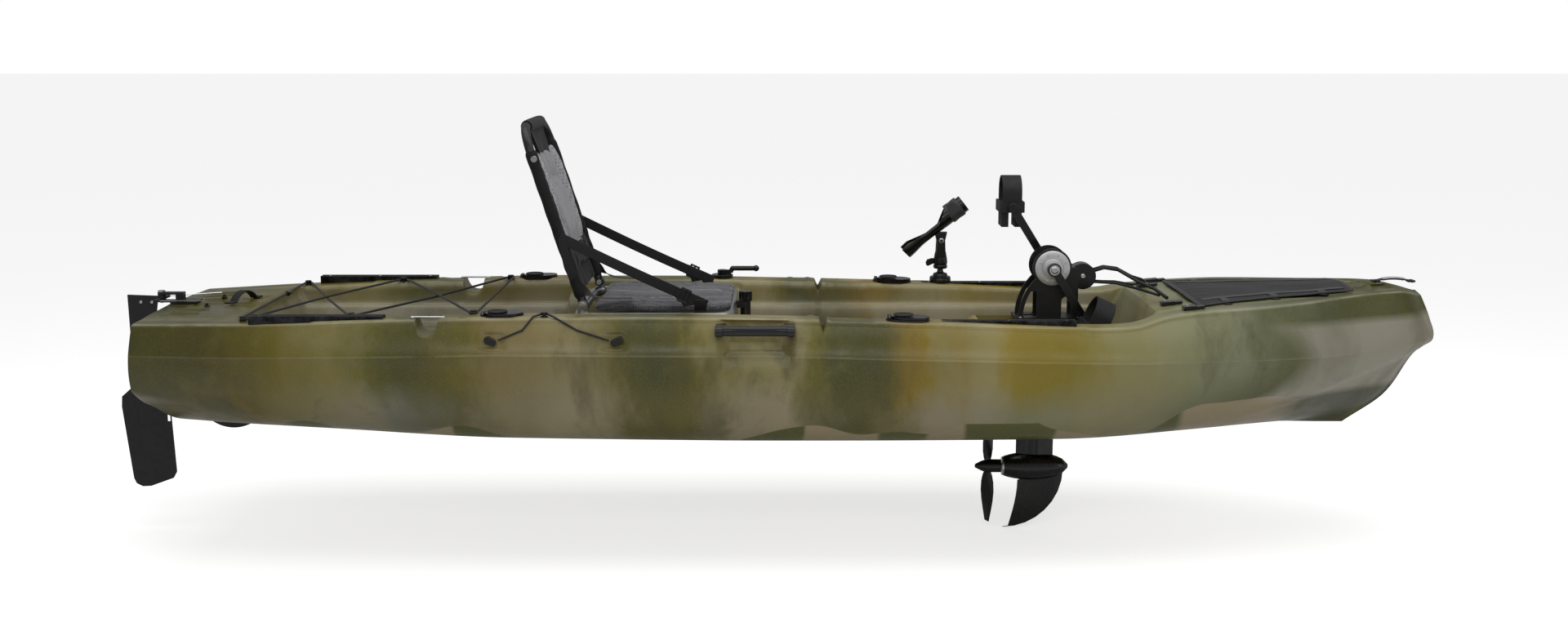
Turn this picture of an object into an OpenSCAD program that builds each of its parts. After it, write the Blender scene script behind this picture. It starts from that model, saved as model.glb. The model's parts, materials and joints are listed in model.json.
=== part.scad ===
// Sit-on-top pedal fishing kayak.
// Frame: +X towards the bow, +Y to port, +Z up. The origin is on the keel, amidships.

/* [Hull] */
// Length of the hull from transom to bow tip
hull_length = 3200; // [2600:10:3900]
// Widest beam, at the parting line
hull_beam = 796; // [660:2:960]
// Height of the gunwale above the keel, amidships
gunwale_height = 330; // [300:1:400]
// Wall thickness of the moulded plastic
hull_wall = 5; // [3:0.5:6]
// Width of the flat gunwale top
rim_width = 72; // [66:1:80]
// Height of the cockpit floor above the keel
floor_height = 125; // [100:1:160]
// Height of the rear tank well floor above the keel
tank_floor_height = 215; // [180:1:240]
// Radius of the scupper bores
scupper_radius = 14; // [8:1:18]

/* [Seat] */
// Outer diameter of the seat tubes
seat_tube = 22; // [18:1:25]
// Distance between the centres of the seat's side tubes
seat_width = 440; // [380:5:470]
// Length of the seat base, centre to centre of its cross tubes
seat_depth = 370; // [320:5:400]
// Length of the backrest from its hinge to the top tube
back_length = 450; // [380:5:500]
// Backward lean of the backrest
back_lean = 18; // [8:1:22]
// Thickness of the seat pad
pad_thickness = 22; // [12:1:30]

/* [Pedal drive] */
// Length of a crank arm, centre to centre
crank_length = 165; // [140:1:172]
// Height of the crank axle above the keel
axle_height = 405; // [395:1:430]
// Radius of the crank axle
axle_radius = 9; // [8:0.5:10]
// Depth of the propeller shaft below the keel
prop_depth = 118; // [112:1:140]
// Radius of the propeller
prop_radius = 148; // [120:1:150]
// Radius of the propeller shaft
prop_shaft_radius = 6; // [5:0.5:7]
// Radial clearance of a running fit
running = 0.08; // [0.05:0.01:0.1]

/* [Steering] */
// Height of the rudder plate
rudder_height = 503; // [420:1:520]
// Radius of the rudder pin
rudder_pin = 5; // [4:0.5:6]
// Length of the steering lever
lever_length = 92; // [70:1:110]

/* [Deck gear] */
// Inside radius of the flush rod holder tubes
rod_tube_radius = 21; // [18:0.5:22]
// Length of the flush rod holder tubes
rod_tube_length = 190; // [150:5:200]
// Length of the rear rails
rear_rail_length = 318; // [240:5:340]
// Length of the front gear tracks
gear_track_length = 320; // [240:5:340]
// Diameter of the bungee cord
bungee = 5; // [4:0.5:6]
// Length of the side carry grips
grip_length = 186; // [150:2:200]

/* [Hidden] */
$fn = 40;

half_length = hull_length / 2;
half_beam = hull_beam / 2;
seat_gap = 0.25;      // pieces stop this far above the hull skin they are screwed to
soft_gap = 0.3;       // soft pieces stop this far from their neighbours

// ---- hull form: small tables of offsets, [fraction of half length, value] ----
PLAN = [[-1, 0.78], [-0.81, 0.92], [-0.56, 0.985], [-0.19, 1], [0.19, 1], [0.44, 0.955],
        [0.62, 0.84], [0.78, 0.67], [0.9, 0.45], [0.97, 0.29], [1, 0.15]];
SHEER = [[-1, -27], [-0.81, -17], [-0.56, -5], [-0.19, 0], [0.19, -13], [0.42, -27], [0.5, -26],
         [0.55, -9], [0.62, 3], [0.78, 15], [0.955, 25], [1, 8]];
TUMBLE = [[-1, 16], [-0.81, 20], [-0.56, 40], [0, 50], [0.48, 46], [0.56, 74], [0.7, 48],
          [0.85, 52], [0.95, 24], [1, 14]];
KEEL = [[-1, 18], [-0.9, 14], [-0.73, 10], [-0.45, 4], [-0.1, 0], [0.5, 0], [0.7, 3], [0.9, 0],
        [1, 0]];
FULL = [[-1, 1], [-0.9, 0.95], [-0.73, 0.8], [-0.45, 0.55], [0.4, 0.55], [0.55, 0.72],
        [0.75, 1.1], [0.9, 1.5], [1, 1.6]];
PARTING = [[-1, 229], [-0.45, 246], [0, 243], [0.5, 221], [0.8, 216], [1, 226]];
STEM = [[0, -204], [77, -103], [184, -42], [227, 0], [280, -10], [341, -34], [380, -50]];
TRANSOM = [[18, 55], [87, 27], [106, 5], [135, -12], [297, 3], [330, 4]];

function seg(x, T, i = 0) = (i >= len(T) - 2 || x < T[i + 1][0]) ? i : seg(x, T, i + 1);
function slope(T, i) = let (a = max(i - 1, 0), b = min(i + 1, len(T) - 1))
  (T[b][1] - T[a][1]) / (T[b][0] - T[a][0]);
function smooth(x, T) = let (i = seg(x, T), h = T[i + 1][0] - T[i][0], u = (x - T[i][0]) / h)
  (1 + 2 * u) * pow(1 - u, 2) * T[i][1] + u * pow(1 - u, 2) * h * slope(T, i)
  + u * u * (3 - 2 * u) * T[i + 1][1] + u * u * (u - 1) * h * slope(T, i + 1);

function beam_at(t) = half_beam * smooth(t, PLAN);
function rim_at(t) = gunwale_height + smooth(t, SHEER);
function parting_at(t) = lookup(t, PARTING);
function crest_at(t) = beam_at(t) - smooth(t, TUMBLE);
function inner_at(t) = crest_at(t) - min(rim_width, 0.3 * crest_at(t));
function rim_z(x) = rim_at(x / half_length);
function rim_y(x) = crest_at(x / half_length);
function side_y(x, z) = let (t = x / half_length, f = (z - parting_at(t)) / (rim_at(t) - parting_at(t)))
  beam_at(t) - smooth(t, TUMBLE) * pow(max(f, 0), 1.5);

// wells: where the deck drops, as fractions of the half length
well_aft = -0.845;
tank_fore = -0.415;
well_fore = 0.52;
console_aft = 0.262;
console_fore = 0.474;
seat_aft = -0.39;
seat_fore = -0.09;
ledge_height = 262;
console_height = 272;
seat_rail_height = 298.7;
reference_inner = 273;
step = 0.02;

function drop(t) = lookup(t, [[well_aft, 0], [well_aft + step, 1], [well_fore, 1],
                              [well_fore + 1.7 * step, 0]]);
function console(t) = lookup(t, [[console_aft, 0], [console_aft + 0.012, 1],
                                 [console_fore - 0.012, 1], [console_fore, 0]]);
function seat_rails(t) = lookup(t, [[seat_aft, 0], [seat_aft + 0.01, 1], [seat_fore - 0.01, 1],
                                    [seat_fore, 0]]);
function floor_at(t) = lookup(t, [[tank_fore, tank_floor_height], [tank_fore + step, floor_height]]);

// lowest value of a height over one wall thickness each way when the skin is offset inwards
function near(a, b, c, d) = d < 0 ? min(a, b, c) : d > 0 ? max(a, b, c) : b;
function ledge_z(t, top) = let (l = ledge_height + seat_rails(t) * (seat_rail_height - ledge_height))
  top + drop(t) * (l - top);
function floor_z(t, top) = top + drop(t) * (floor_at(t) - top);
function console_z(t, top) = let (f = floor_z(t, top)) f + console(t) * (console_height - f);
function spread(t, top, d, k) = let (s = 1.4 * hull_wall / half_length, a = t - s, b = t + s)
  k == 0 ? near(ledge_z(a, top), ledge_z(t, top), ledge_z(b, top), d)
  : k == 1 ? near(floor_z(a, top), floor_z(t, top), floor_z(b, top), d)
  : near(console_z(a, top), console_z(t, top), console_z(b, top), d);

// half of one frame, from the flat keel round the bilge and over the gunwale to the deck's middle
BILGE = 9;
function half_frame(t, d) = let (
    b = beam_at(t), zk = lookup(t, KEEL), zp = parting_at(t), zr = rim_at(t), e = smooth(t, FULL),
    cy = crest_at(t), k = inner_at(t) / reference_inner, w = smooth(t, TUMBLE), crown = 6,
    rails = seat_rails(t), foot = lookup(t, [[0.545, 240], [0.6, 190]]))
  concat(
    [for (i = [0:BILGE]) let (a = 90 * i / BILGE)
      [(b + d) * pow(sin(a), e), i < 2 ? zk - d : zp - (zp - zk + d) * pow(cos(a), e)]],
    [for (f = [0.35, 0.7]) [b + d - w * pow(f, 1.5), zp + (zr - zp) * f]],
    [[cy + 0.7 * d, zr - 7 + 0.4 * d], [cy - 8 + 0.3 * d, zr + d],
     [273 * k - d, zr + d + 0.5],
     [267 * k - d, spread(t, zr + 1.2, d, 0) + d],
     [(250 - 80 * rails) * k - d, spread(t, zr + 2, d, 0) + d + 0.1],
     [(foot - 76 * rails) * k - d, spread(t, zr + 2.8, d, 1) + d + 0.2],
     [60 * k + d, spread(t, zr + 0.8 * crown, d, 1) + d + 0.3],
     [52 * k + d, spread(t, zr + 0.85 * crown, d, 2) + d + 0.4],
     [0, spread(t, zr + crown, d, 2) + d + 0.5]]);

function stem_x(t, z) = t > 0.7 ? lookup(z, STEM) * pow((t - 0.7) / 0.3, 1.5) : 0;
function transom_x(t, z) = t < -0.9 ? lookup(z, TRANSOM) * (-t - 0.9) / 0.1 : 0;
function place(t, p, d) = [t * (half_length + d) + stem_x(t, p[1]) + transom_x(t, p[1]), p[0], p[1]];
function frame_ring(t, d) = let (h = half_frame(t, d), n = len(h))
  concat([for (p = h) place(t, p, d)], [for (i = [n - 2:-1:1]) place(t, [-h[i][0], h[i][1]], d)]);

STATIONS = [-1, -0.985, -0.96, -0.93, -0.89, well_aft, well_aft + step, -0.75, -0.66, -0.56, -0.47,
  tank_fore, tank_fore + step, seat_aft + 0.01, -0.3, -0.2, seat_fore - 0.01, seat_fore, -0.03, 0.05,
  0.13, 0.2, console_aft, console_aft + 0.012, 0.32, 0.37, 0.42, console_fore - 0.012, console_fore,
  0.497, well_fore, well_fore + 1.7 * step, 0.58, 0.62, 0.68, 0.74, 0.8, 0.85, 0.9, 0.94, 0.975, 1];
hatch_first = 33;
hatch_last = 35;
hatch_edge = BILGE + 8;

function ring_size() = len(frame_ring(0, 0));
function wrap(j, m) = (j + m) % m;
function skin(n, m, off, skip) = [for (i = [0:n - 2], j = [0:m - 1])
  if (!(skip && i >= hatch_first && i < hatch_last && j >= hatch_edge && j < m - hatch_edge))
    let (a = off + i * m + j, b = off + i * m + wrap(j + 1, m), c = b + m, e = a + m)
      each [[a, c, b], [a, e, c]]];
function cap(i, m, off) = let (h = m / 2) [for (j = [0:h - 1])
  let (a = off + i * m + j, b = a + 1, c = off + i * m + wrap(m - j - 1, m), e = off + i * m + wrap(m - j, m))
    each (j == 0 ? [[a, b, c]] : j == h - 1 ? [[a, b, e]] : [[a, b, c], [a, c, e]])];
function turned(F) = [for (f = F) [for (k = [len(f) - 1:-1:0]) f[k]]];
// walls of the hatch opening, joining the outer skin to the inner one
function hatch_wall(n, m) = let (o = n * m, a = hatch_first, b = hatch_last, p = hatch_edge, q = m - hatch_edge)
  concat([for (j = [p:q - 1]) each [[a * m + j, a * m + j + 1, o + a * m + j + 1],
                                     [a * m + j, o + a * m + j + 1, o + a * m + j]]],
         [for (j = [p:q - 1]) each [[b * m + j + 1, b * m + j, o + b * m + j],
                                     [b * m + j + 1, o + b * m + j, o + b * m + j + 1]]],
         [for (i = [a:b - 1]) each [[(i + 1) * m + p, i * m + p, o + i * m + p],
                                     [(i + 1) * m + p, o + i * m + p, o + (i + 1) * m + p]]],
         [for (i = [a:b - 1]) each [[i * m + q, (i + 1) * m + q, o + (i + 1) * m + q],
                                     [i * m + q, o + (i + 1) * m + q, o + i * m + q]]]);

module hull_skin() {
  n = len(STATIONS);
  m = ring_size();
  o = n * m;
  polyhedron(
    points = concat([for (t = STATIONS) each frame_ring(t, 0)],
                    [for (t = STATIONS) each frame_ring(t, -hull_wall)]),
    faces = concat(skin(n, m, 0, true), cap(0, m, 0), turned(cap(n - 1, m, 0)),
                   turned(skin(n, m, o, true)), turned(cap(0, m, o)), cap(n - 1, m, o),
                   turned(hatch_wall(n, m))));
}
// a solid slice of the hull, grown by the seat gap, that trims what sits on it
module hull_slice(x0, x1) {
  T = concat([x0 / half_length], [for (t = STATIONS) if (t * half_length > x0 && t * half_length < x1) t],
             [x1 / half_length]);
  n = len(T);
  m = ring_size();
  polyhedron(points = [for (t = T) each frame_ring(t, seat_gap)],
             faces = concat(skin(n, m, 0, false), [[for (j = [0:m - 1]) j]],
                            [[for (j = [m - 1:-1:0]) (n - 1) * m + j]]));
}
module seated(x0, x1) {
  difference() {
    children();
    hull_slice(x0, x1);
  }
}
module both_sides() {
  children();
  mirror([0, 1, 0]) children();
}
module stadium(length, width) {
  square([length - width, width], center = true);
  for (s = [-1, 1]) translate([s * (length - width) / 2, 0]) circle(d = width);
}
module along_y(length, r) {
  rotate([90, 0, 0]) cylinder(h = length, r = r, center = true);
}
// round bar between two points
module bar(p, q, r) {
  v = q - p;
  translate(p) rotate([0, acos(v[2] / norm(v)), atan2(v[1], v[0])]) cylinder(h = norm(v), r = r);
}
// round bar that follows a list of points, with a ball at each bend
module bent_bar(P, r) {
  for (i = [0:len(P) - 2]) bar(P[i], P[i + 1], r);
  for (i = [1:len(P) - 2]) translate(P[i]) sphere(r = r);
}
// cord swept along a list of points
function unit(v) = v / norm(v);
module cord(P, r, sides = 8) {
  n = len(P);
  T = [for (i = [0:n - 1]) unit(P[min(i + 1, n - 1)] - P[max(i - 1, 0)])];
  polyhedron(
    points = [for (i = [0:n - 1]) let (u = unit(cross(T[i], [0, 0, 1])), w = cross(u, T[i]))
      each [for (k = [0:sides - 1]) P[i] + r * (cos(360 * k / sides) * u + sin(360 * k / sides) * w)]],
    faces = concat([[for (k = [sides - 1:-1:0]) k]], [[for (k = [0:sides - 1]) (n - 1) * sides + k]],
      [for (i = [0:n - 2], k = [0:sides - 1]) let (a = i * sides + k, b = i * sides + (k + 1) % sides)
        each [[a, b, a + sides], [b, b + sides, a + sides]]]));
}

// ---- wells and openings through the hull ----
axle_x = 0.399375 * half_length;
well_x0 = axle_x - 184;
well_x1 = axle_x + 76;
well_half = 42;
prop_x = axle_x - 149;
pocket_x0 = prop_x - 40;
pocket_x1 = prop_x + 40;
prop_sweep = prop_radius + 7;
scupper_x = [-0.72, -0.5, 0.1];
scupper_y = 120;
rod_x = [-0.442, 0.16];
rod_lean = 25;
rod_wall = 3;
rod_flange = [104, 66, 4];
function rod_y(x) = (inner_at(x / half_length) + crest_at(x / half_length)) / 2;

module at_rod(i, side) {
  x = rod_x[i] * half_length;
  slope = atan((rim_z(x + 50) - rim_z(x - 50)) / 100);
  translate([x, side * rod_y(x), rim_z(x) + 0.9]) rotate([0, -slope, 0]) children();
}
module drive_well(grow, z0, z1) {
  translate([well_x0 - grow, -well_half - grow, z0])
    cube([well_x1 - well_x0 + 2 * grow, 2 * (well_half + grow), z1 - z0]);
}
module prop_pocket(grow) {
  translate([pocket_x0 - grow, 0, -prop_depth]) rotate([0, 90, 0])
    cylinder(h = pocket_x1 - pocket_x0 + 2 * grow, r = prop_sweep + grow);
}
module scuppers(r, z0, top) {
  for (x = scupper_x, s = [-1, 1]) {
    h = x < tank_fore ? tank_floor_height : floor_height;
    translate([x * half_length, s * scupper_y, z0]) cylinder(h = h + top - z0, r = r);
  }
}
module hull() {
  color("darkolivegreen") difference() {
    union() {
      hull_skin();
      drive_well(hull_wall, 2, console_height - 2);
      intersection() {
        prop_pocket(hull_wall);
        translate([0, -half_beam, 2.5]) cube([half_length, hull_beam, 100]);
      }
      scuppers(scupper_radius + hull_wall, 14, -2);
    }
    drive_well(0, -20, console_height + 40);
    prop_pocket(0);
    scuppers(scupper_radius, -20, 20);
    for (i = [0, 1], s = [-1, 1])
      at_rod(i, s) rotate([0, -rod_lean, 0]) translate([0, 0, -50])
        cylinder(h = 90, r = rod_tube_radius + rod_wall + seat_gap);
  }
}
module keel_shoe() {
  shoe_x = -0.91 * half_length;
  color("black") translate([shoe_x, 0, lookup(-0.91, KEEL) - 1.3]) rotate([-90, 0, 0])
    translate([0, 0, -9]) linear_extrude(18) intersection() {
      translate([0, -66]) circle(r = 94, $fn = 96);
      translate([-60, 0]) square([120, 40]);
    }
}
hatch_x0 = 0.61 * half_length;
hatch_x1 = 0.86 * half_length;
hatch_w0 = 0.515 * half_beam;
hatch_w1 = 0.245 * half_beam;
cover_thickness = 5;
function deck_top(x, y) = let (t = x / half_length, k = inner_at(t) / reference_inner, a = abs(y))
  rim_at(t) + lookup(a, [[0, 6.5], [52 * k, 5.5], [60 * k, 5.1], [190 * k, 3], [250 * k, 2.1],
                         [267 * k, 1.2], [273 * k, 0.5]]);
function deck_slope(x, y) = atan((deck_top(x + 26, y) - deck_top(x - 26, y)) / 52);
module hatch_cover() {
  A = [for (i = [0:6]) hatch_x0 + (hatch_x1 - hatch_x0) * i / 6];
  m = 9;
  function half_w(x) = hatch_w0 + (hatch_w1 - hatch_w0) * (x - hatch_x0) / (hatch_x1 - hatch_x0);
  P = [for (x = A, j = [0:m - 1]) let (y = half_w(x) * (2 * j / (m - 1) - 1))
    [x, y, deck_top(x, y) + 1.2]];
  n = len(P);
  color("dimgray") polyhedron(
    points = concat(P, [for (p = P) p + [0, 0, cover_thickness]]),
    faces = concat(
      [for (i = [0:5], j = [0:m - 2]) let (a = i * m + j) each [[a, a + m, a + 1], [a + 1, a + m, a + m + 1]]],
      [for (i = [0:5], j = [0:m - 2]) let (a = n + i * m + j) each [[a, a + 1, a + m], [a + 1, a + m + 1, a + m]]],
      [for (i = [0:5]) let (a = i * m) each [[a, n + a, a + m], [n + a, n + a + m, a + m]]],
      [for (i = [0:5]) let (a = i * m + m - 1) each [[a, a + m, n + a], [n + a, a + m, n + a + m]]],
      [for (j = [0:m - 2]) each [[j, j + 1, n + j], [j + 1, n + j + 1, n + j]]],
      [for (j = [0:m - 2]) let (a = 6 * m + j) each [[a, n + a, a + 1], [a + 1, n + a, n + a + 1]]]));
}
// two pairs of side-release buckles, at the stay's feet and at the cover's rear corners
buckle = [52, 26, 9];
buckle_at = [[0.57375 * half_length, 0.372 * half_beam], [0.597 * half_length, 0.568 * half_beam]];
module deck_buckles() {
  color("black") both_sides() for (b = buckle_at)
    translate([b[0], b[1], deck_top(b[0], b[1]) + 0.6]) rotate([0, -deck_slope(b[0], b[1]), 0]) {
      translate([-buckle[0] / 2, -buckle[1] / 2, 0]) cube([buckle[0] * 0.62, buckle[1], buckle[2]]);
      translate([0, -buckle[1] * 0.38, 1]) cube([buckle[0] / 2, buckle[1] * 0.76, buckle[2] - 3]);
    }
}
grip_x = -0.066 * half_length;
grip_r = 12;
grip_z = 306;
module side_grips() {
  y = side_y(grip_x, grip_z) + 26;
  color("black") both_sides() seated(grip_x - grip_length, grip_x + grip_length)
    translate([grip_x, y, grip_z]) {
      rotate([0, 90, 0]) cylinder(h = grip_length, r = grip_r, center = true);
      for (s = [-1, 1]) translate([s * (grip_length / 2 - 13) - 12, -38, -grip_r])
        cube([24, 38, 2 * grip_r]);
    }
}
// webbing handle: an arched band with a foot at each end
module strap_handle(span, rise) {
  r = (rise * rise + span * span / 4) / (2 * rise);
  rotate([90, 0, 0]) translate([0, 0, -11]) linear_extrude(22) {
    intersection() {
      translate([0, rise - r]) difference() {
        circle(r = r, $fn = 96);
        circle(r = r - 4, $fn = 96);
      }
      translate([-span / 2, 0]) square([span, rise]);
    }
    for (s = [-1, 1]) translate([s * (span / 2 + 8) - 12, 0]) square([24, 4]);
  }
}
module bow_handle() {
  x = 0.945 * half_length;
  color("black") translate([x, 0, deck_top(x, 0) + 1]) strap_handle(66, 14);
}
module stern_handle() {
  x = -0.885 * half_length;
  color("black") translate([x, 0, deck_top(x, 0) + 0.8]) rotate([0, 0, 70]) strap_handle(90, 26);
}
rail_x = -0.7144 * half_length;
rail_size = [30, 15];
module slotted(length, w, h) {
  rotate([90, 0, 90]) translate([0, 0, -length / 2]) linear_extrude(length) difference() {
    translate([-w / 2, -6]) square([w, h + 6]);
    translate([-4.5, h - 8]) square([9, 9]);
    translate([-8, h - 8]) square([16, 4.5]);
  }
}
module rear_rails() {
  color("black") both_sides() seated(rail_x - rear_rail_length, rail_x + rear_rail_length)
    translate([rail_x, rim_y(rail_x) - 24, rim_z(rail_x)])
      slotted(rear_rail_length, rail_size[0], rail_size[1]);
}
track_x = 0.31 * half_length;
track_height = 9;
module gear_tracks() {
  color("black") both_sides() seated(track_x - gear_track_length, track_x + gear_track_length)
    translate([track_x, rod_y(track_x), rim_z(track_x)])
      slotted(gear_track_length, 28, track_height);
}
hinge_x = -44;
hinge_z = 4.2;
cap_pin = 1.5;
module rod_tubes() {
  color("black") for (i = [0, 1], s = [-1, 1]) at_rod(i, s) difference() {
    union() {
      linear_extrude(rod_flange[2]) stadium(rod_flange[0], rod_flange[1]);
      intersection() {
        rotate([0, -rod_lean, 0]) translate([0, 0, -rod_tube_length])
          cylinder(h = rod_tube_length + 20, r = rod_tube_radius + rod_wall);
        translate([-100, -50, -300]) cube([300, 100, 302]);
      }
      for (k = [-1, 1]) translate([hinge_x - 4, k * 10.5 - 3, 0])
        cube([8, 6, rod_flange[2] + hinge_z + 3]);
    }
    rotate([0, -rod_lean, 0]) translate([0, 0, rod_wall - rod_tube_length])
      cylinder(h = rod_tube_length + 40, r = rod_tube_radius);
    translate([hinge_x, 0, rod_flange[2] + hinge_z]) along_y(60, cap_pin + running);
  }
}
module rod_cap(i, side) {
  color("black") at_rod(i, side) translate([0, 0, rod_flange[2]]) difference() {
    union() {
      translate([6, 0, 0.3]) linear_extrude(5) stadium(90, 58);
      translate([hinge_x, 0, hinge_z]) along_y(14, 3.6);
      translate([hinge_x, -7, hinge_z - 3]) cube([12, 14, 4]);
    }
    translate([hinge_x, 0, hinge_z]) along_y(60, cap_pin + running);
  }
}
module rod_cap_rear_left() { rod_cap(0, 1); }
module rod_cap_rear_right() { rod_cap(0, -1); }
module rod_cap_front_left() { rod_cap(1, 1); }
module rod_cap_front_right() { rod_cap(1, -1); }
module cap_pins() {
  color("silver") for (i = [0, 1], s = [-1, 1])
    at_rod(i, s) translate([hinge_x, 0, rod_flange[2] + hinge_z]) along_y(27, cap_pin);
}
// mushroom posts that the bungee cord turns round, and the two wire guides on the stern deck
eye_x = [-0.831, -0.669, -0.487];
eye_y = 0.7337 * half_beam;
side_eye_x = -0.3775;
guide_x = -0.93;
guide_y = 70;
module post() {
  cylinder(h = 2.5, r = 9);
  cylinder(h = 10, r = 4);
  translate([0, 0, 9]) cylinder(h = 2.5, r = 8);
}
module pad_eyes() {
  color("black") {
    both_sides() for (x = eye_x) translate([x * half_length, eye_y, rim_at(x) + 1]) post();
    translate([side_eye_x * half_length, -rim_y(side_eye_x * half_length) + 16,
               rim_at(side_eye_x) + 0.5]) post();
    both_sides() translate([guide_x * half_length, guide_y, rim_at(guide_x) + 5.8]) {
      cylinder(h = 2, r = 8);
      translate([-3, -4, 0]) cube([6, 8, 8]);
    }
  }
}
// ---- cords: hand-chosen routes ----
cord_rise = 6.6;
turn_r = 4 + bungee / 2 + 0.3;
function eye(i, s) = [eye_x[i] * half_length, s * eye_y, rim_at(eye_x[i]) + cord_rise];
// points of a turn round the outboard side of a post, from one angle to another
function turn(c, s, dir, from = -60, to = 60) = [for (a = [from:30:to])
  c + turn_r * [dir * sin(a), s * cos(a), 0]];
function mid(p, q, h) = (p + q) / 2 + [0, 0, h];
module tank_bungee() {
  N = [for (i = [0:2]) eye(i, -1)];
  F = [for (i = [0:2]) eye(i, 1)];
  knot = mid(N[0], F[0], 0) + [-3, 110, 0];
  color("black") cord(concat(
    [knot + [-3, -12, 0], [N[0][0] - turn_r, N[0][1] + 60, N[0][2]]], turn(N[0], -1, 1, from = -90),
    [mid(N[0], F[1], 4)], turn(F[1], 1, 1), [mid(F[1], N[2], 4)], turn(N[2], -1, 1, to = 90),
    [mid(N[2], F[2], 0) + [turn_r, 0, 0]], turn(F[2], 1, -1, from = -90), [mid(F[2], N[1], -4)],
    turn(N[1], -1, -1), [mid(N[1], F[0], -4)], turn(F[0], 1, -1, to = 90), [knot + [-3, 12, 0]]), bungee / 2);
  color("black") translate(knot) along_y(26, 7);
}
clip_x = [-0.4506 * half_length, -0.2706 * half_length];
clip_z = 281;
module side_bungee() {
  e = [side_eye_x * half_length, -rim_y(side_eye_x * half_length) + 16, rim_at(side_eye_x) + cord_rise];
  function on_side(x, z) = [x, -side_y(x, z) - bungee / 2 - 2, z];
  color("black") cord([
    on_side(clip_x[0] + 14, clip_z + 2), on_side(clip_x[0] + 70, clip_z + 24),
    [e[0] - 24, e[1] - 19, e[2] - 2], e + [-8, 3.5, 0], e + [-4.5, turn_r, 0],
    e + [4.5, turn_r, 0], e + [8, 3.5, 0], [e[0] + 24, e[1] - 19, e[2] - 2],
    on_side(clip_x[1] - 90, clip_z + 24), on_side(clip_x[1] - 14, clip_z + 2)], bungee / 2);
}
module bungee_clips() {
  color("black") for (x = clip_x) seated(x - 60, x + 60) {
    s = x < side_eye_x * half_length ? -1 : 1;
    translate([x + s * 4, -side_y(x, clip_z) - 3.5, clip_z]) rotate([90, -s * 24, 0])
      translate([0, 0, -14]) linear_extrude(20) stadium(30, 16);
  }
}
notch_x = -0.55;
module notch_bars() {
  color("silver") both_sides()
    translate([notch_x * half_length, rim_y(notch_x * half_length) - 22, rim_at(notch_x) + 3.5]) {
      rotate([0, 90, 0]) cylinder(h = 80, r = 2.5, center = true);
      for (s = [-1, 1]) translate([s * 36, 0, -2.7]) cylinder(h = 3, r = 5);
    }
}

// ---- seat ----
tube_r = seat_tube / 2;
seat_x1 = seat_fore * half_length - 26;
seat_x0 = seat_x1 - seat_depth;
seat_z = seat_rail_height + soft_gap + tube_r;
lug_t = 6;
lug_gap = 2.5;
back_y = seat_width / 2 - tube_r + 0.5 - lug_t - lug_gap - tube_r;
hinge_at = [seat_x0 + 12, 0, seat_z + 2 * tube_r + 5];
pin_r = 4;
pad_top = seat_z + tube_r + soft_gap + pad_thickness;
corner_r = 45;
module tube_loop(x0, x1, y, z, r, c) {
  for (s = [-1, 1]) {
    translate([x0 + c, s * y, z]) rotate([0, 90, 0]) cylinder(h = x1 - x0 - 2 * c, r = r);
    translate([s < 0 ? x0 : x1, 0, z]) along_y(2 * (y - c), r);
  }
  for (q = [[x1 - c, y - c, 0], [x0 + c, y - c, 90], [x0 + c, c - y, 180], [x1 - c, c - y, 270]])
    translate([q[0], q[1], z]) rotate([0, 0, q[2]]) rotate_extrude(angle = 90)
      translate([c, 0]) circle(r = r);
}
module seat_base_frame() {
  color("silver") difference() {
    union() {
      tube_loop(seat_x0, seat_x1, seat_width / 2, seat_z, tube_r, corner_r);
      both_sides() translate([hinge_at[0] - 12, back_y + tube_r + lug_gap, seat_z])
        cube([24 + 34, lug_t, tube_r * 0.8]);
      both_sides() translate([hinge_at[0], back_y + tube_r + lug_gap + lug_t / 2, 0])
        rotate([90, 0, 0]) translate([0, 0, -lug_t / 2]) linear_extrude(lug_t) {
          translate([0, hinge_at[2]]) circle(r = 12);
          translate([-12, seat_z]) square([24, hinge_at[2] - seat_z]);
        }
    }
    translate(hinge_at) along_y(seat_width + 60, pin_r + running);
  }
}
module in_back() {
  translate(hinge_at) rotate([0, -back_lean, 0]) children();
}
top_corner = 70;
module seat_back_frame() {
  color("black") difference() {
    in_back() {
      both_sides() translate([0, back_y, 0]) cylinder(h = back_length - top_corner, r = tube_r);
      both_sides() translate([0, back_y, 0]) along_y(2 * tube_r, tube_r);
      translate([0, 0, back_length]) along_y(2 * (back_y - top_corner), tube_r);
      for (s = [0, 1]) mirror([0, s, 0]) translate([0, back_y - top_corner, back_length - top_corner])
        rotate([90, 0, 90]) rotate_extrude(angle = 90) translate([top_corner, 0]) circle(r = tube_r);
    }
    translate(hinge_at) along_y(seat_width + 60, pin_r + running);
  }
}
module seat_hinge_pins() {
  color("silver") both_sides() translate([hinge_at[0], back_y - tube_r - 2, hinge_at[2]])
    rotate([-90, 0, 0]) {
      cylinder(h = 2 * tube_r + lug_gap + lug_t + 3.5, r = pin_r);
      translate([0, 0, 2 * tube_r + lug_gap + lug_t + 2.3]) cylinder(h = 3, r = 8);
      translate([0, 0, -1.5]) cylinder(h = 3, r = 7);
    }
}
pad_half = back_y - tube_r - 1;
module seat_pad() {
  color("gray") translate([hinge_at[0] + 24, -pad_half, pad_top - pad_thickness])
    cube([seat_x1 + 6 - hinge_at[0] - 24, 2 * pad_half, pad_thickness]);
}
back_pad_z = [72, 385];
module back_pad() {
  color("gray") in_back() translate([-11, -pad_half + 0.2, back_pad_z[0]])
    cube([22, 2 * pad_half - 0.4, back_pad_z[1] - back_pad_z[0]]);
}
module head_strap() {
  color("black") in_back() translate([0, 0, back_length]) difference() {
    along_y(2 * (back_y - top_corner) - 8, tube_r + 3.3);
    along_y(seat_width, tube_r + 0.3);
  }
}
strap_y = back_y + tube_r + 0.6;
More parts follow.
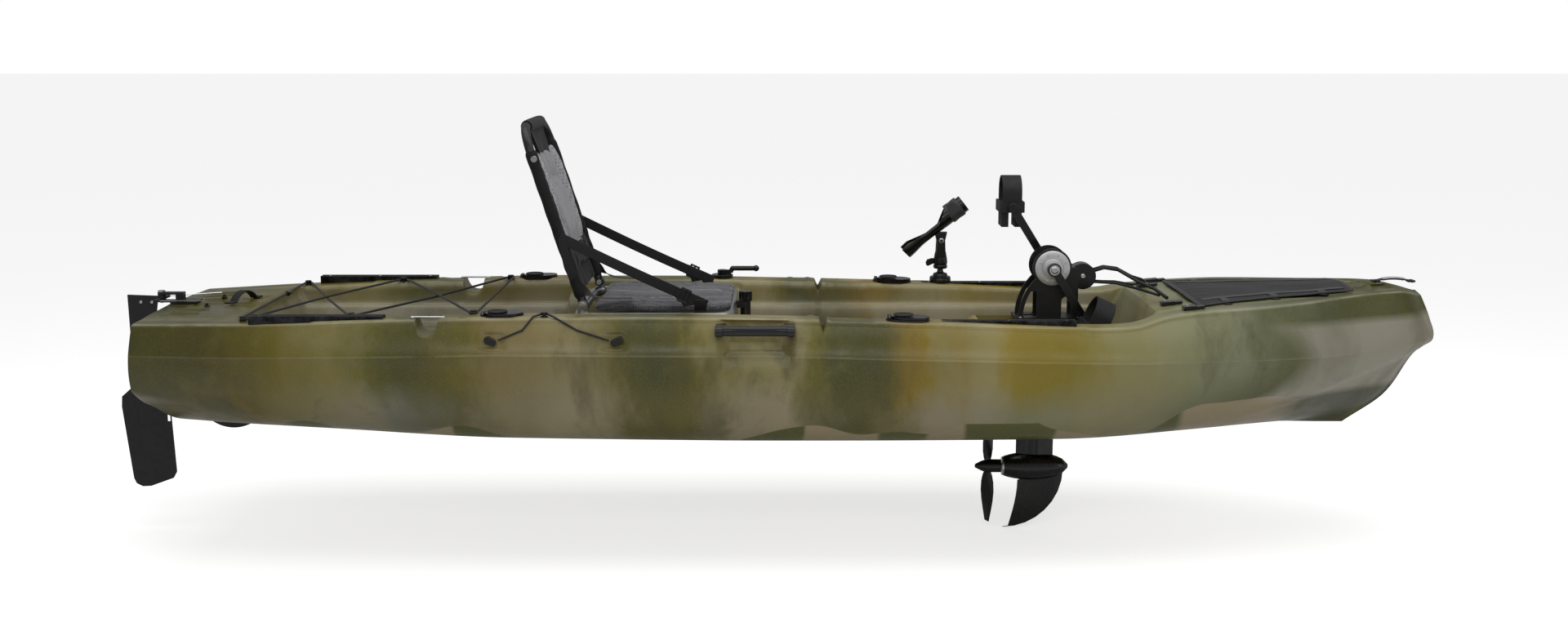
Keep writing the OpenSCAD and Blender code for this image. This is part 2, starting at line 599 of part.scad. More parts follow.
strap_t = 1.6;
strap_w = 22;
strap_low = [seat_x1 - 56, 0, seat_z + tube_r + 16];
module side_strap() {
  a = hinge_at + [-175 * sin(back_lean), 0, 175 * cos(back_lean)];
  v = strap_low - a;
  color("black") translate([a[0], strap_y, a[2]]) rotate([0, atan2(-v[2], v[0]), 0])
    translate([0, 0, -strap_w / 2]) cube([norm(v), strap_t, strap_w]);
}
module side_strap_left() { side_strap(); }
module side_strap_right() { mirror([0, 1, 0]) side_strap(); }
module strap_buckles() {
  color("black") both_sides() translate([strap_low[0] - 8, strap_y + strap_t, seat_z + tube_r])
    translate([-22, 0, 0.1]) cube([30, 5, 30]);
}
clamp_x = seat_x1 + 34;
clamp_r = 13;
module seat_clamp_post() {
  top = seat_z + tube_r;
  color("black") {
    translate([clamp_x, 0, floor_height + 1.2]) cylinder(h = 6, r = 26);
    translate([clamp_x, 0, floor_height + 1.2]) cylinder(h = top - floor_height - 6, r = clamp_r);
    translate([seat_x1 + tube_r + 0.3, -14, top - 22]) cube([clamp_x - seat_x1 - tube_r, 28, 17]);
  }
}
module seat_clamp_knob() {
  top = seat_z + tube_r;
  color("black") translate([clamp_x, 0, top - 4.5]) difference() {
    cylinder(h = 24, r = 17);
    for (a = [0:60:300]) rotate([0, 0, a]) translate([19, 0, 4]) cylinder(h = 30, r = 4);
  }
}

// ---- pedal drive ----
axle_at = [axle_x, 0, axle_height];
head_r = 40;
head_half = 31;
shaft_r = 4;
mouth = console_height + 0.8;
plate_t = 6;
leg_x = axle_x - 29;
leg_chord = 96;
leg_t = 28;
bulb_x = axle_x - 39;
bulb_r = 36;
bulb_aft = axle_x - 108;
bulb_span = 98;
module lens(chord, t) {
  R = (chord * chord / 4 + t * t / 4) / t;
  intersection() {
    translate([0, R - t / 2]) circle(r = R, $fn = 128);
    translate([0, t / 2 - R]) circle(r = R, $fn = 128);
  }
}
function bulb_radius(x) = bulb_r * sqrt(1 - pow((x - bulb_x) / bulb_span, 2));
module bulb_profile() {
  X = [for (i = [0:12]) bulb_aft + (bulb_x + bulb_span - 1 - bulb_aft) * i / 12];
  polygon(concat([[0, bulb_aft]], [for (x = X) [bulb_radius(x), x]], [[0, bulb_x + bulb_span - 1]]));
}
// swept-back fin under the bulb: a leading arc and a hollow trailing arc
module fin_profile() {
  depth = 155;
  polygon(concat(
    [for (i = [0:8]) let (a = 90 * i / 8) [bulb_aft + 1 + 153 * cos(a), -prop_depth - 8 - depth * sin(a)]],
    [for (i = [0:6]) let (a = 90 * i / 6)
      [bulb_aft + 15 + 22 * sin(a), -prop_depth - 8 - depth + 2 + (depth - 32) * i / 6]]));
}
cheek_y = [32, 38];
disc_y = [38.3, 44];
module drive_stand() {
  color("black") {
    difference() {
      translate([axle_x - 91, -48, mouth]) cube([176, 96, plate_t]);
      translate([axle_x, 0, 0]) cylinder(h = 500, r = 31.3);
      translate([leg_x, 0, mouth - 1]) linear_extrude(20) lens(leg_chord + 1, leg_t + 1);
    }
    both_sides() translate([0, cheek_y[1], 0]) rotate([90, 0, 0])
      linear_extrude(cheek_y[1] - cheek_y[0]) difference() {
        union() {
          translate([axle_x, axle_height]) circle(r = 49, $fn = 64);
          intersection() {
            translate([axle_x - 83, mouth + 1]) square([150, axle_height - mouth]);
            translate([axle_x + 66, mouth + 1]) circle(r = 149, $fn = 96);
          }
        }
        translate([axle_x, axle_height]) circle(r = 18);
        offset(r = 5) offset(delta = -5) difference() {
          intersection() {
            translate([axle_x - 83, mouth + plate_t]) square([46, 66]);
            translate([axle_x + 66, mouth + 1]) circle(r = 138, $fn = 96);
          }
          translate([axle_x, axle_height]) circle(r = 57);
        }
        translate([axle_x + 25, mouth + plate_t]) {
          square([26, 40]);
          translate([13, 40]) circle(r = 13);
        }
      }
  }
}
module drive_housing() {
  color("black") difference() {
    union() {
      translate(axle_at) along_y(2 * head_half, head_r);
      translate([axle_x, 0, mouth]) cylinder(h = axle_height - mouth - 20, r = 24);
      translate([axle_x, 0, mouth]) cylinder(h = 9, r = 31);
      translate([leg_x, 0, -prop_depth]) linear_extrude(prop_depth + mouth + 4) lens(leg_chord, leg_t);
      translate([0, 0, -prop_depth]) rotate([0, 90, 0]) rotate_extrude() bulb_profile();
      translate([0, 3, 0]) rotate([90, 0, 0]) linear_extrude(6) fin_profile();
    }
    translate(axle_at) along_y(38, 35);
    for (s = [-1, 1]) translate(axle_at + [0, s * 26, 0]) along_y(10.2, 17);
    translate(axle_at) along_y(100, 12);
    translate([axle_x, 0, -prop_depth]) cylinder(h = prop_depth + axle_height, r = shaft_r + 1.5);
    translate([axle_x - 37, 0, -prop_depth]) rotate([0, 90, 0]) cylinder(h = 60, r = 24);
    translate([prop_x + 10, 0, -prop_depth]) rotate([0, 90, 0])
      cylinder(h = 110, r = prop_shaft_radius + running);
  }
}
module side_discs() {
  color("silver") both_sides() translate([axle_x, disc_y[1], axle_height]) rotate([90, 0, 0])
    difference() {
      union() {
        cylinder(h = disc_y[1] - disc_y[0], r = 44, $fn = 96);
        translate([0, 0, -6]) cylinder(h = 7, r1 = 16, r2 = 24);
      }
      translate([0, 0, -10]) cylinder(h = 30, r = axle_radius + 0.5);
    }
}
disc_screw_count = 8;
module disc_screws() {
  color("gray") both_sides() for (k = [0:disc_screw_count - 1])
    translate([axle_x, 0, axle_height]) rotate([0, 360 * (k + 0.5) / disc_screw_count, 0])
      translate([34, disc_y[1] + 1, 0]) along_y(2, 2.4);
}
arm_y = [66, 80];
module crank_axle() {
  color("silver") translate(axle_at) along_y(2 * arm_y[0], axle_radius);
}
module axle_bearings() {
  color("silver") both_sides() translate(axle_at + [0, 26, 0]) difference() {
    along_y(9.9, 16.95);
    along_y(20, axle_radius + running);
  }
}
gear_r = 28;
pinion_r = 7;
gear_y = [7.6, 14];
module crank_gear() {
  color("dimgray") translate(axle_at) rotate([-90, 0, 0]) rotate_extrude($fn = 64)
    polygon([[axle_radius, gear_y[0] - 3], [16, gear_y[0] - 3], [gear_r, gear_y[0]],
             [gear_r, gear_y[1]], [axle_radius, gear_y[1] + 3]]);
}
module drive_shaft() {
  color("dimgray") translate([axle_x, 0, 0]) {
    translate([0, 0, 8 - prop_depth]) cylinder(h = axle_height - 24 + prop_depth, r = shaft_r);
    translate([0, 0, axle_height]) rotate_extrude($fn = 48)
      polygon([[0, -34], [pinion_r, -34], [pinion_r, -gear_r - 0.6], [4, -16.6], [0, -16.6]]);
    translate([0, 0, -prop_depth]) rotate_extrude($fn = 48)
      polygon([[0, 5], [10, 5.6], [16, 8.6], [16, 13], [0, 14]]);
  }
}
module prop_shaft() {
  color("silver") translate([0, 0, -prop_depth]) rotate([0, 90, 0]) {
    translate([0, 0, prop_x - 10]) cylinder(h = axle_x - 24 - prop_x + 10, r = prop_shaft_radius);
    translate([0, 0, axle_x]) rotate_extrude($fn = 48)
      polygon([[0, -26], [7.4, -26], [7.4, -16.8], [3.6, -9.5], [0, -9.5]]);
  }
}
module bulb_ring() {
  color("silver") translate([bulb_aft - 5.3, 0, -prop_depth]) rotate([0, 90, 0]) difference() {
    cylinder(h = 5, r = 24);
    translate([0, 0, -1]) cylinder(h = 8, r = prop_shaft_radius + 0.5);
  }
}
// one twisted blade: elliptic sections stacked along the radius
module blade() {
  R = [12, 24, 42, 66, 92, 118, 136, prop_radius - 1];
  m = 12;
  function chord(r) = 17 + 27 * sin(180 * pow((r - 12) / (prop_radius + 14 - 12), 0.8));
  function thick(r) = 3.4 - 2.4 * r / prop_radius;
  function pitch(r) = 62 - 40 * r / prop_radius;
  polyhedron(
    points = [for (r = R) each [for (k = [0:m - 1]) let (a = 360 * k / m, p = pitch(r),
      u = chord(r) / 2 * cos(a), v = thick(r) * sin(a))
        [u * sin(p) + v * cos(p), u * cos(p) - v * sin(p), r]]],
    faces = concat([[for (k = [m - 1:-1:0]) k]], [[for (k = [0:m - 1]) (len(R) - 1) * m + k]],
      [for (i = [0:len(R) - 2], k = [0:m - 1]) let (a = i * m + k, b = i * m + (k + 1) % m)
        each [[a, b, a + m], [b, b + m, a + m]]]));
}
module propeller() {
  color("black") translate([prop_x, 0, -prop_depth]) difference() {
    union() {
      rotate([0, 90, 0]) rotate_extrude() polygon([[0, -34], [5, -32], [13, -16], [17, -4], [17, 34], [0, 34]]);
      for (s = [0, 180]) rotate([s, 0, 0]) blade();
    }
    translate([-10, 0, 0]) rotate([0, 90, 0]) cylinder(h = 60, r = prop_shaft_radius + 0.02);
  }
}
crank_angle = 122;
pedal_y = [88, 180];
near_tilt = 25;
spindle_r = 6;
module crank(angle) {
  color("black") translate(axle_at) rotate([0, -angle, 0]) difference() {
    union() {
      translate([0, arm_y[1], 0]) rotate([90, 0, 0]) linear_extrude(arm_y[1] - arm_y[0]) {
        circle(d = 34);
        translate([crank_length, 0]) circle(d = 26);
        translate([0, -10]) square([crank_length, 20]);
      }
      translate([crank_length, (arm_y[1] + pedal_y[1] + 1) / 2, 0])
        along_y(pedal_y[1] + 1 - arm_y[1], spindle_r);
    }
    for (s = [-1, 1]) translate([24, s * 1.5 + (arm_y[0] + arm_y[1]) / 2, 0]) translate([0, s * 8.5 - 2, -4.5])
      cube([crank_length - 48, 4, 9]);
  }
}
module crank_left() { crank(crank_angle); }
module crank_right() { mirror([0, 1, 0]) crank(crank_angle + 180); }
function pedal_at(angle) = axle_at + crank_length * [cos(angle), 0, sin(angle)];
module pedal(angle, tilt) {
  w = pedal_y[1] - pedal_y[0];
  color("black") translate(pedal_at(angle)) rotate([0, tilt, 0]) difference() {
    union() {
      translate([-32, pedal_y[0], -14]) cube([64, w, 28]);
      for (s = [-1, 1]) translate([s * 17 - 9, pedal_y[0] + 10, -52]) cube([18, w - 20, 42]);
    }
    translate([0, (pedal_y[0] + pedal_y[1]) / 2, 0]) along_y(w + 20, spindle_r + running);
  }
}
module pedal_strap(angle, tilt) {
  w = pedal_y[1] - pedal_y[0];
  color("black") translate(pedal_at(angle)) rotate([0, tilt, 0])
    translate([25, (pedal_y[0] + pedal_y[1]) / 2, 14]) rotate([90, 0, -90]) linear_extrude(50)
      difference() {
        union() {
          translate([0, 20]) circle(d = w);
          translate([-w / 2, 0.2]) square([w, 20]);
        }
        translate([0, 20]) circle(d = w - 8);
        translate([4 - w / 2, 3]) square([w - 8, 17]);
        translate([-w, -w]) square([2 * w, w + 0.2]);
      }
}
module pedal_left() { pedal(crank_angle, 0); }
module pedal_right() { mirror([0, 1, 0]) pedal(crank_angle + 180, near_tilt); }
module pedal_strap_left() { pedal_strap(crank_angle, 0); }
module pedal_strap_right() { mirror([0, 1, 0]) pedal_strap(crank_angle + 180, near_tilt); }
stay_at = [axle_x + 81, 0, axle_height - 24];
module stay_hub() {
  color("black") {
    translate(stay_at) along_y(42, 33);
    difference() {
      translate([axle_x + 26, -14, stay_at[2] - 12]) cube([34, 28, 24]);
      translate(axle_at) along_y(200, head_r + 0.3);
    }
  }
}
module stay_bars() {
  tip = [buckle_at[0][0] - 10, buckle_at[0][1] - 6];
  low = deck_top(tip[0], tip[1]) + 17;
  color("black") both_sides() difference() {
    union() {
      cord([stay_at + [22, 8, 11], stay_at + [55, 10, 21], stay_at + [90, 14, 16],
            [tip[0] - 52, 46, 371], [tip[0] - 18, 78, 358], [tip[0], tip[1], low]], 4.5);
      cord([stay_at + [22, 8, -15], stay_at + [55, 9, -17], stay_at + [85, 12, -18],
            [tip[0] - 52, 34, 352], [tip[0] - 12, tip[1] - 36, low + 1]], 3.6);
    }
    translate(stay_at) along_y(60, 33.3);
  }
}

// ---- rudder and steering ----
yaw_x = -half_length - 25;
bracket_x = [yaw_x + 29, yaw_x + 95];
bracket_z = deck_top(bracket_x[1], 0) + 0.3;
knuckle_z = [bracket_z + 6.3, bracket_z + 19.7];
module rudder_bracket() {
  color("black") difference() {
    union() {
      translate([bracket_x[0], -26, bracket_z]) cube([bracket_x[1] - bracket_x[0], 52, 5]);
      for (z = [knuckle_z[0] - 6.3, knuckle_z[1] + 0.3]) {
        translate([yaw_x, 0, z]) cylinder(h = 6, r = 10);
        translate([yaw_x, -10, z]) cube([44, 20, 6]);
      }
      translate([yaw_x + 38, -10, bracket_z]) cube([20, 20, knuckle_z[1] + 6.3 - bracket_z]);
    }
    translate([yaw_x, 0, 0]) cylinder(h = 600, r = rudder_pin + running);
  }
}
module rudder_hinge_pin() {
  color("silver") translate([yaw_x, 0, knuckle_z[0] - 8]) {
    cylinder(h = knuckle_z[1] - knuckle_z[0] + 17, r = rudder_pin);
    translate([0, 0, knuckle_z[1] - knuckle_z[0] + 14.4]) cylinder(h = 4, r = 9);
  }
}
plate_top = knuckle_z[1] - 1;
module rudder_plate() {
  low = plate_top - rudder_height;
  color("black") difference() {
    union() {
      translate([yaw_x, 3, 0]) rotate([90, 0, 0]) linear_extrude(6)
        polygon([[-87, plate_top], [-6, plate_top - 3], [-6, knuckle_z[0]], [-11, knuckle_z[0]],
          [-15, 290], [-15, 100], [-3, 60], [5, 40], [12, low + 38], [3, low + 22],
          [-55, low + 1], [-77, low], [-93, low + 8], [-99, low + 22], [-119, 40],
          [-117, 66], [-83, 96]]);
      translate([yaw_x, 0, knuckle_z[0]]) cylinder(h = knuckle_z[1] - knuckle_z[0], r = 10);
      translate([yaw_x - 6, -46, knuckle_z[0]]) cube([12, 92, 6]);
    }
    translate([yaw_x, 0, 0]) cylinder(h = 600, r = rudder_pin + running);
    for (x = [yaw_x - 53, yaw_x - 25]) translate([x, 0, plate_top - 19]) along_y(40, 2.5);
  }
}
module steering_wires() {
  z = knuckle_z[0] + 6 + 2.1;
  color("silver") both_sides() bent_bar([[yaw_x + 2, 40, z],
    [guide_x * half_length - 5, guide_y - 2, rim_at(guide_x) + 14.6]], 1.2);
}
lever_x = -0.12875 * half_length;
lever_y = rod_y(lever_x);
lever_pin = 5;
module at_lever() {
  translate([lever_x, lever_y, rim_z(lever_x) + 0.9]) children();
}
module lever_base() {
  color("black") at_lever() {
    cylinder(h = 9, r = 29);
    cylinder(h = 22, r = lever_pin);
  }
}
module lever_arm() {
  color("black") at_lever() difference() {
    union() {
      translate([0, 0, 9.3]) cylinder(h = 12, r = 13);
      translate([0, -6, 10]) cube([24, 12, 11]);
      bent_bar([[22, 0, 15], [28, 0, 25], [lever_length, 0, 25]], 6.5);
      translate([lever_length, 0, 25]) sphere(r = 8.5);
    }
    translate([0, 0, -1]) cylinder(h = 40, r = lever_pin + running);
  }
}

// ---- rod holder on the port gear track ----
holder_x = 0.2425 * half_length;
holder_y = rod_y(holder_x);
holder_z = rim_z(track_x) + track_height;
ball_z = 44;
ball_r = 12;
bolt_z = 82;
module at_holder() {
  translate([holder_x, holder_y, holder_z + 0.2]) children();
}
module rod_holder_base() {
  color("black") at_holder() {
    cylinder(h = 14, r = 28);
    translate([0, 0, 14]) cylinder(h = 8, r = 19);
    cylinder(h = ball_z, r = 7);
    translate([0, 0, ball_z]) sphere(r = ball_r);
  }
}
module rod_holder_arm() {
  color("black") at_holder() difference() {
    union() {
      translate([0, 0, ball_z - 8]) cylinder(h = 56, r = 19);
      for (y = [-19, 9]) translate([-11, y, ball_z + 40]) cube([22, 10, 30]);
      translate([0, 0, ball_z + bolt_z - 12]) along_y(38, 11);
      translate([-40, -5, ball_z + 4]) cube([24, 10, 16]);
    }
    translate([0, 0, ball_z]) sphere(r = ball_r + 0.3);
    translate([0, 0, ball_z - 20]) cylinder(h = 20, r1 = 22, r2 = ball_r - 1);
    translate([0, 0, ball_z + bolt_z - 12]) along_y(100, 5 + running);
    translate([-30, -9, ball_z + 46]) cube([60, 18, 60]);
  }
}
holder_tilt = 38;
module rod_holder_cradle() {
  color("black") at_holder() translate([0, 0, ball_z + bolt_z - 12]) {
    along_y(44, 5);
    difference() {
      union() {
        along_y(17.4, 12);
        translate([-10, -8.7, 0]) cube([20, 17.4, 34]);
        rotate([0, -holder_tilt, 0]) translate([-95, 0, 42]) rotate([0, 90, 0]) cylinder(h = 205, r = 24);
      }
      rotate([0, -holder_tilt, 0]) translate([-120, 0, 42]) rotate([0, 90, 0]) cylinder(h = 300, r = 20);
      rotate([0, -holder_tilt, 0]) translate([-96, -14, 46]) cube([150, 28, 40]);
    }
  }
}
module rod_holder_strap() {
  color("dimgray") at_holder() translate([0, 0, ball_z + bolt_z - 12])
    rotate([0, -holder_tilt, 0]) translate([58, 0, 42]) rotate([0, 90, 0]) difference() {
      cylinder(h = 40, r = 27);
      translate([0, 0, -1]) cylinder(h = 42, r = 24.1);
    }
}

hull();
keel_shoe();
hatch_cover();
deck_buckles();
side_grips();
bow_handle();
stern_handle();
rear_rails();
gear_tracks();
rod_tubes();
rod_cap_rear_left();
rod_cap_rear_right();
rod_cap_front_left();
rod_cap_front_right();
cap_pins();
pad_eyes();
tank_bungee();
side_bungee();
bungee_clips();
notch_bars();
seat_base_frame();
seat_back_frame();
seat_pad();
back_pad();
head_strap();
side_strap_left();
side_strap_right();
strap_buckles();
seat_hinge_pins();
seat_clamp_post();
seat_clamp_knob();
drive_stand();
drive_housing();
side_discs();
disc_screws();
crank_axle();
crank_gear();
axle_bearings();
drive_shaft();
prop_shaft();
bulb_ring();
propeller();
crank_left();
crank_right();
pedal_left();
pedal_right();
pedal_strap_left();
pedal_strap_right();
stay_hub();
stay_bars();
rudder_bracket();
rudder_hinge_pin();
rudder_plate();
steering_wires();
lever_base();
lever_arm();
rod_holder_base();
rod_holder_arm();
rod_holder_cradle();
rod_holder_strap();
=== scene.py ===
"""Pedal-drive fishing kayak: the shapes and finishes of its visible pieces, made around the packed model."""
import json
import math

import bmesh
import bpy
import numpy as np
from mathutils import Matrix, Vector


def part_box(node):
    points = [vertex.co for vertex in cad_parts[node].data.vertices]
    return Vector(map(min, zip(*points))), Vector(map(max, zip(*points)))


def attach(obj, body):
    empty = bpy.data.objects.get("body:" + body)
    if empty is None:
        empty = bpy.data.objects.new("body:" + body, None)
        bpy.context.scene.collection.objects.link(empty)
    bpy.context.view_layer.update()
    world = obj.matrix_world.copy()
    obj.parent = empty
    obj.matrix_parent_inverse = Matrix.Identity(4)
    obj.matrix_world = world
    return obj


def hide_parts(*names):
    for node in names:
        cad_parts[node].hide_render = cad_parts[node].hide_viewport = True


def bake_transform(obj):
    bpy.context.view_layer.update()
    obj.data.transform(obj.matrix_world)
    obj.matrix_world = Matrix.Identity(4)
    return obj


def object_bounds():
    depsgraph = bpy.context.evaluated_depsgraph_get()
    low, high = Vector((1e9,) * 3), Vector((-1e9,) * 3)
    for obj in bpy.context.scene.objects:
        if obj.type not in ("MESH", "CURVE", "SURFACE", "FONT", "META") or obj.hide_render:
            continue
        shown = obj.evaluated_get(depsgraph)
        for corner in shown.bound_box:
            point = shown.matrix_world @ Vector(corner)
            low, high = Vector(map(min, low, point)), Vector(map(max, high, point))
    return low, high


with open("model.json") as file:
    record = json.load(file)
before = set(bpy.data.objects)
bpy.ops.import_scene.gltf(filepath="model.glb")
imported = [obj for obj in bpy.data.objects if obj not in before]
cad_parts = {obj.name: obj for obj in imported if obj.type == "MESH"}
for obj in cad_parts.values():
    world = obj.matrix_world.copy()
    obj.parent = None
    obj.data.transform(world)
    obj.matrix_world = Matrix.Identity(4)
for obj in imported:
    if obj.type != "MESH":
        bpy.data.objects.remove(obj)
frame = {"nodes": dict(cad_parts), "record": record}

bl_info = {
    "name": "Pedal Kayak",
    "version": (1, 0, 0),
    "blender": (4, 5, 0),
    "location": "View3D > Sidebar > Kayak",
    "description": "Builds the visible pieces of a pedal-drive fishing kayak around its packed model",
    "category": "Add Mesh",
}

CAD_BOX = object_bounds()
MM = 0.001
HULL_LOW, HULL_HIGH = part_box("hull")


# ---- numbers and curves ----
def lookup(x, table):
    """Straight-line interpolation in a table of (place, value) pairs."""
    t = np.array(table, float)
    return np.interp(x, t[:, 0], t[:, 1])


def smooth(x, table):
    """Cubic through a table's points; a point's slope is that of the line between its neighbours."""
    t = np.array(table, float)
    n = len(t)
    i = np.clip(np.searchsorted(t[:, 0], x, side="right") - 1, 0, n - 2)
    before, after = np.maximum(np.arange(n) - 1, 0), np.minimum(np.arange(n) + 1, n - 1)
    slope = (t[after, 1] - t[before, 1]) / (t[after, 0] - t[before, 0])
    h = t[i + 1, 0] - t[i, 0]
    u = (x - t[i, 0]) / h
    return ((1 + 2 * u) * (1 - u) ** 2 * t[i, 1] + u * (1 - u) ** 2 * h * slope[i]
            + u * u * (3 - 2 * u) * t[i + 1, 1] + u * u * (u - 1) * h * slope[i + 1])


def ease(v):
    """0 below 0, 1 above 1, and 3v^2 - 2v^3 between."""
    v = np.clip(v, 0, 1)
    return v * v * (3 - 2 * v)


def plateau(x, low, high, soft):
    """1 between low and high, easing to 0 over the length soft at either end."""
    return ease((x - low) / soft + 0.5) * ease((high - x) / soft + 0.5)


def curve_through(points, count):
    """A Catmull-Rom curve through the points, sampled at count evenly spaced parameters."""
    p = np.array(points, float)
    s = np.linspace(0, len(p) - 1, count)
    table = np.arange(len(p))
    return np.stack([smooth(s, np.stack((table, p[:, k]), 1)) for k in range(p.shape[1])], 1)


def unit(v):
    """Vectors scaled to length 1."""
    return v / np.maximum(np.linalg.norm(v, axis=-1, keepdims=True), 1e-12)


def sides_of(path, up):
    """Unit tangents, sideways vectors (tangent x up) and top vectors (side x tangent) of a path."""
    tangent = unit(np.gradient(path, axis=0))
    side = unit(np.cross(tangent, np.broadcast_to(np.array(up, float), path.shape)))
    return tangent, side, np.cross(side, tangent)


# ---- mesh building ----
class Shape:
    """Collects surfaces in millimetres and turns them into one closed mesh in metres."""

    def __init__(self):
        self.points = []
        self.faces = []
        self.uvs = []
        self.total = 0

    def grid(self, p, wrap=False, caps=False):
        """Quads between the rows and columns of p. wrap joins the last column to the first, and
        caps closes the first and last rows with a flat face. UVs are lengths along and across."""
        rows, cols = p.shape[:2]
        last = cols if wrap else cols - 1
        i, j = np.meshgrid(np.arange(rows - 1), np.arange(last), indexing="ij")
        i, j = i.ravel(), j.ravel()
        a, b = i * cols + j, i * cols + (j + 1) % cols
        quads = np.stack((a, b, b + cols, a + cols), 1) + self.total
        steps = np.linalg.norm(np.diff(p, axis=0), axis=2).mean(1)
        across = np.linalg.norm(np.roll(p, -1, axis=1) - p, axis=2).mean(0)
        u = np.concatenate(([0], np.cumsum(steps))) * MM
        v = np.concatenate(([0], np.cumsum(across))) * MM
        corner = np.stack((np.stack((u[i], v[j]), 1), np.stack((u[i], v[j + 1]), 1),
                           np.stack((u[i + 1], v[j + 1]), 1), np.stack((u[i + 1], v[j]), 1)), 1)
        self.faces += quads.tolist()
        self.uvs.append(corner.reshape(-1, 2))
        if caps:
            ring = np.arange(cols) + self.total
            self.faces += [ring[::-1].tolist(), (ring + (rows - 1) * cols).tolist()]
            self.uvs += [np.stack((0 * v[:cols], v[:cols]), 1)] * 2
        self.points.append(p.reshape(-1, 3))
        self.total += rows * cols
        return self

    def tube(self, path, radius, sides=12, up=(0, 0, 1), squeeze=1.0):
        """A circle of the given radius (one number or one per point) carried along a path."""
        path = np.asarray(path, float)
        _, side, top = sides_of(path, up)
        a = np.linspace(0, 2 * np.pi, sides, endpoint=False)
        r = np.broadcast_to(np.asarray(radius, float), len(path))[:, None, None]
        ring = np.cos(a)[None, :, None] * side[:, None] + squeeze * np.sin(a)[None, :, None] * top[:, None]
        return self.grid(path[:, None] + r * ring, wrap=True, caps=True)

    def band(self, path, width, thick, up=(0, 0, 1), crown=0.0):
        """Webbing: a flat rounded section, width by thick, carried along a path. up is its face's way,
        and crown lifts its middle."""
        path = np.asarray(path, float)
        tangent = unit(np.gradient(path, axis=0))
        side = unit(np.cross(np.broadcast_to(np.array(up, float), path.shape), tangent))
        face = np.cross(tangent, side)
        a = np.linspace(0, 2 * np.pi, 20, endpoint=False)
        w = np.sign(np.cos(a)) * np.abs(np.cos(a)) ** 0.35 * width / 2
        h = np.sign(np.sin(a)) * np.abs(np.sin(a)) ** 0.7 * thick / 2
        h = h + crown * (1 - (2 * w / width) ** 2)
        p = path[:, None] + w[None, :, None] * side[:, None] + h[None, :, None] * face[:, None]
        return self.grid(p, wrap=True, caps=True)

    def lathe(self, profile, at, axis="z", steps=48):
        """A profile of (radius, height) turned about an axis through the point at."""
        profile = np.array(profile, float)
        a = np.linspace(0, 2 * np.pi, steps, endpoint=False)
        r, h = np.maximum(profile[:, 0], 0.01), profile[:, 1]
        c, s = r[:, None] * np.cos(a), r[:, None] * np.sin(a)
        h = np.broadcast_to(h[:, None], c.shape)
        order = {"x": (h, c, s), "y": (s, h, c), "z": (c, s, h)}[axis]
        return self.grid(np.stack(order, -1) + np.array(at, float), wrap=True, caps=True)

    def prism(self, outline, low, high, place=None):
        """A flat outline of (u, v) points raised from low to high. place turns (u, v, height) to points."""
        outline = np.array(outline, float)
        levels = np.array([low, high], float)
        p = np.stack([np.column_stack((outline, np.full(len(outline), h))) for h in levels])
        return self.grid(place(p) if place else p, wrap=True, caps=True)

    def move(self, matrix, at):
        """Turns the last surface by a 3x3 matrix, then moves it to the point at."""
        self.points[-1] = self.points[-1] @ np.array(matrix, float).T + np.array(at, float)
        return self

    def build(self, name, finish, body="root", replaces=(), slot=None, bevel=0.0, angle=32):
        """The object: doubles merged, normals outward, edges sharper than angle rounded by bevel."""
        mesh = bpy.data.meshes.new(name)
        mesh.from_pydata((np.concatenate(self.points) * MM).tolist(), [], self.faces)
        mesh.uv_layers.new(name="run").data.foreach_set("uv", np.concatenate(self.uvs).ravel().astype("f"))
        return finish_mesh(mesh, name, finish, body, replaces, bevel, angle)


def finish_mesh(mesh, name, finish, body, replaces=(), bevel=0.0, angle=32, merge=1e-5):
    """Merges and turns a mesh outward, shades it, gives it its finish and puts it on its body."""
    edit = bmesh.new()
    edit.from_mesh(mesh)
    bmesh.ops.remove_doubles(edit, verts=edit.verts, dist=merge)
    bmesh.ops.dissolve_degenerate(edit, dist=merge, edges=edit.edges)
    bmesh.ops.recalc_face_normals(edit, faces=edit.faces)
    edit.to_mesh(mesh)
    edit.free()
    mesh.shade_smooth()
    mesh.set_sharp_from_angle(angle=math.radians(angle))
    piece = bpy.data.objects.new(name, mesh)
    bpy.context.scene.collection.objects.link(piece)
    mesh.materials.append(finish)
    if bevel:
        add_bevel(piece, bevel, angle)
    if body:
        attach(piece, body)
    if replaces:
        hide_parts(*replaces)
    return piece


def add_bevel(piece, width, angle):
    """Rounds the sharp edges, as a moulding tool or a deburring wheel leaves them."""
    bevel = piece.modifiers.new("rounded edges", "BEVEL")
    bevel.width = width * MM
    bevel.segments = 2
    bevel.limit_method = "ANGLE"
    bevel.angle_limit = math.radians(angle)
    bevel.harden_normals = True


def cad_body(node):
    """The name of the body that a CAD node belongs to."""
    for name, members in frame["record"]["behaviour"]["bodies"].items():
        if node in members:
            return name
    return "root"


def refined(node, finish, bevel=0.8, angle=32, name=None):
    """A copy of a CAD node with its points merged, its flat faces joined and its edges rounded."""
    mesh = frame["nodes"][node].data.copy()
    mesh.materials.clear()
    edit = bmesh.new()
    edit.from_mesh(mesh)
    bmesh.ops.remove_doubles(edit, verts=edit.verts, dist=1e-6)
    bmesh.ops.dissolve_limit(edit, angle_limit=math.radians(0.6), verts=edit.verts, edges=edit.edges)
    edit.to_mesh(mesh)
    edit.free()
    mesh.shade_smooth()
    mesh.set_sharp_from_angle(angle=math.radians(angle))
    piece = bpy.data.objects.new(name or node + "_finished", mesh)
    bpy.context.scene.collection.objects.link(piece)
    mesh.materials.append(finish)
    if bevel:
        add_bevel(piece, bevel, angle)
    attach(piece, cad_body(node))
    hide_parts(node)
    return piece


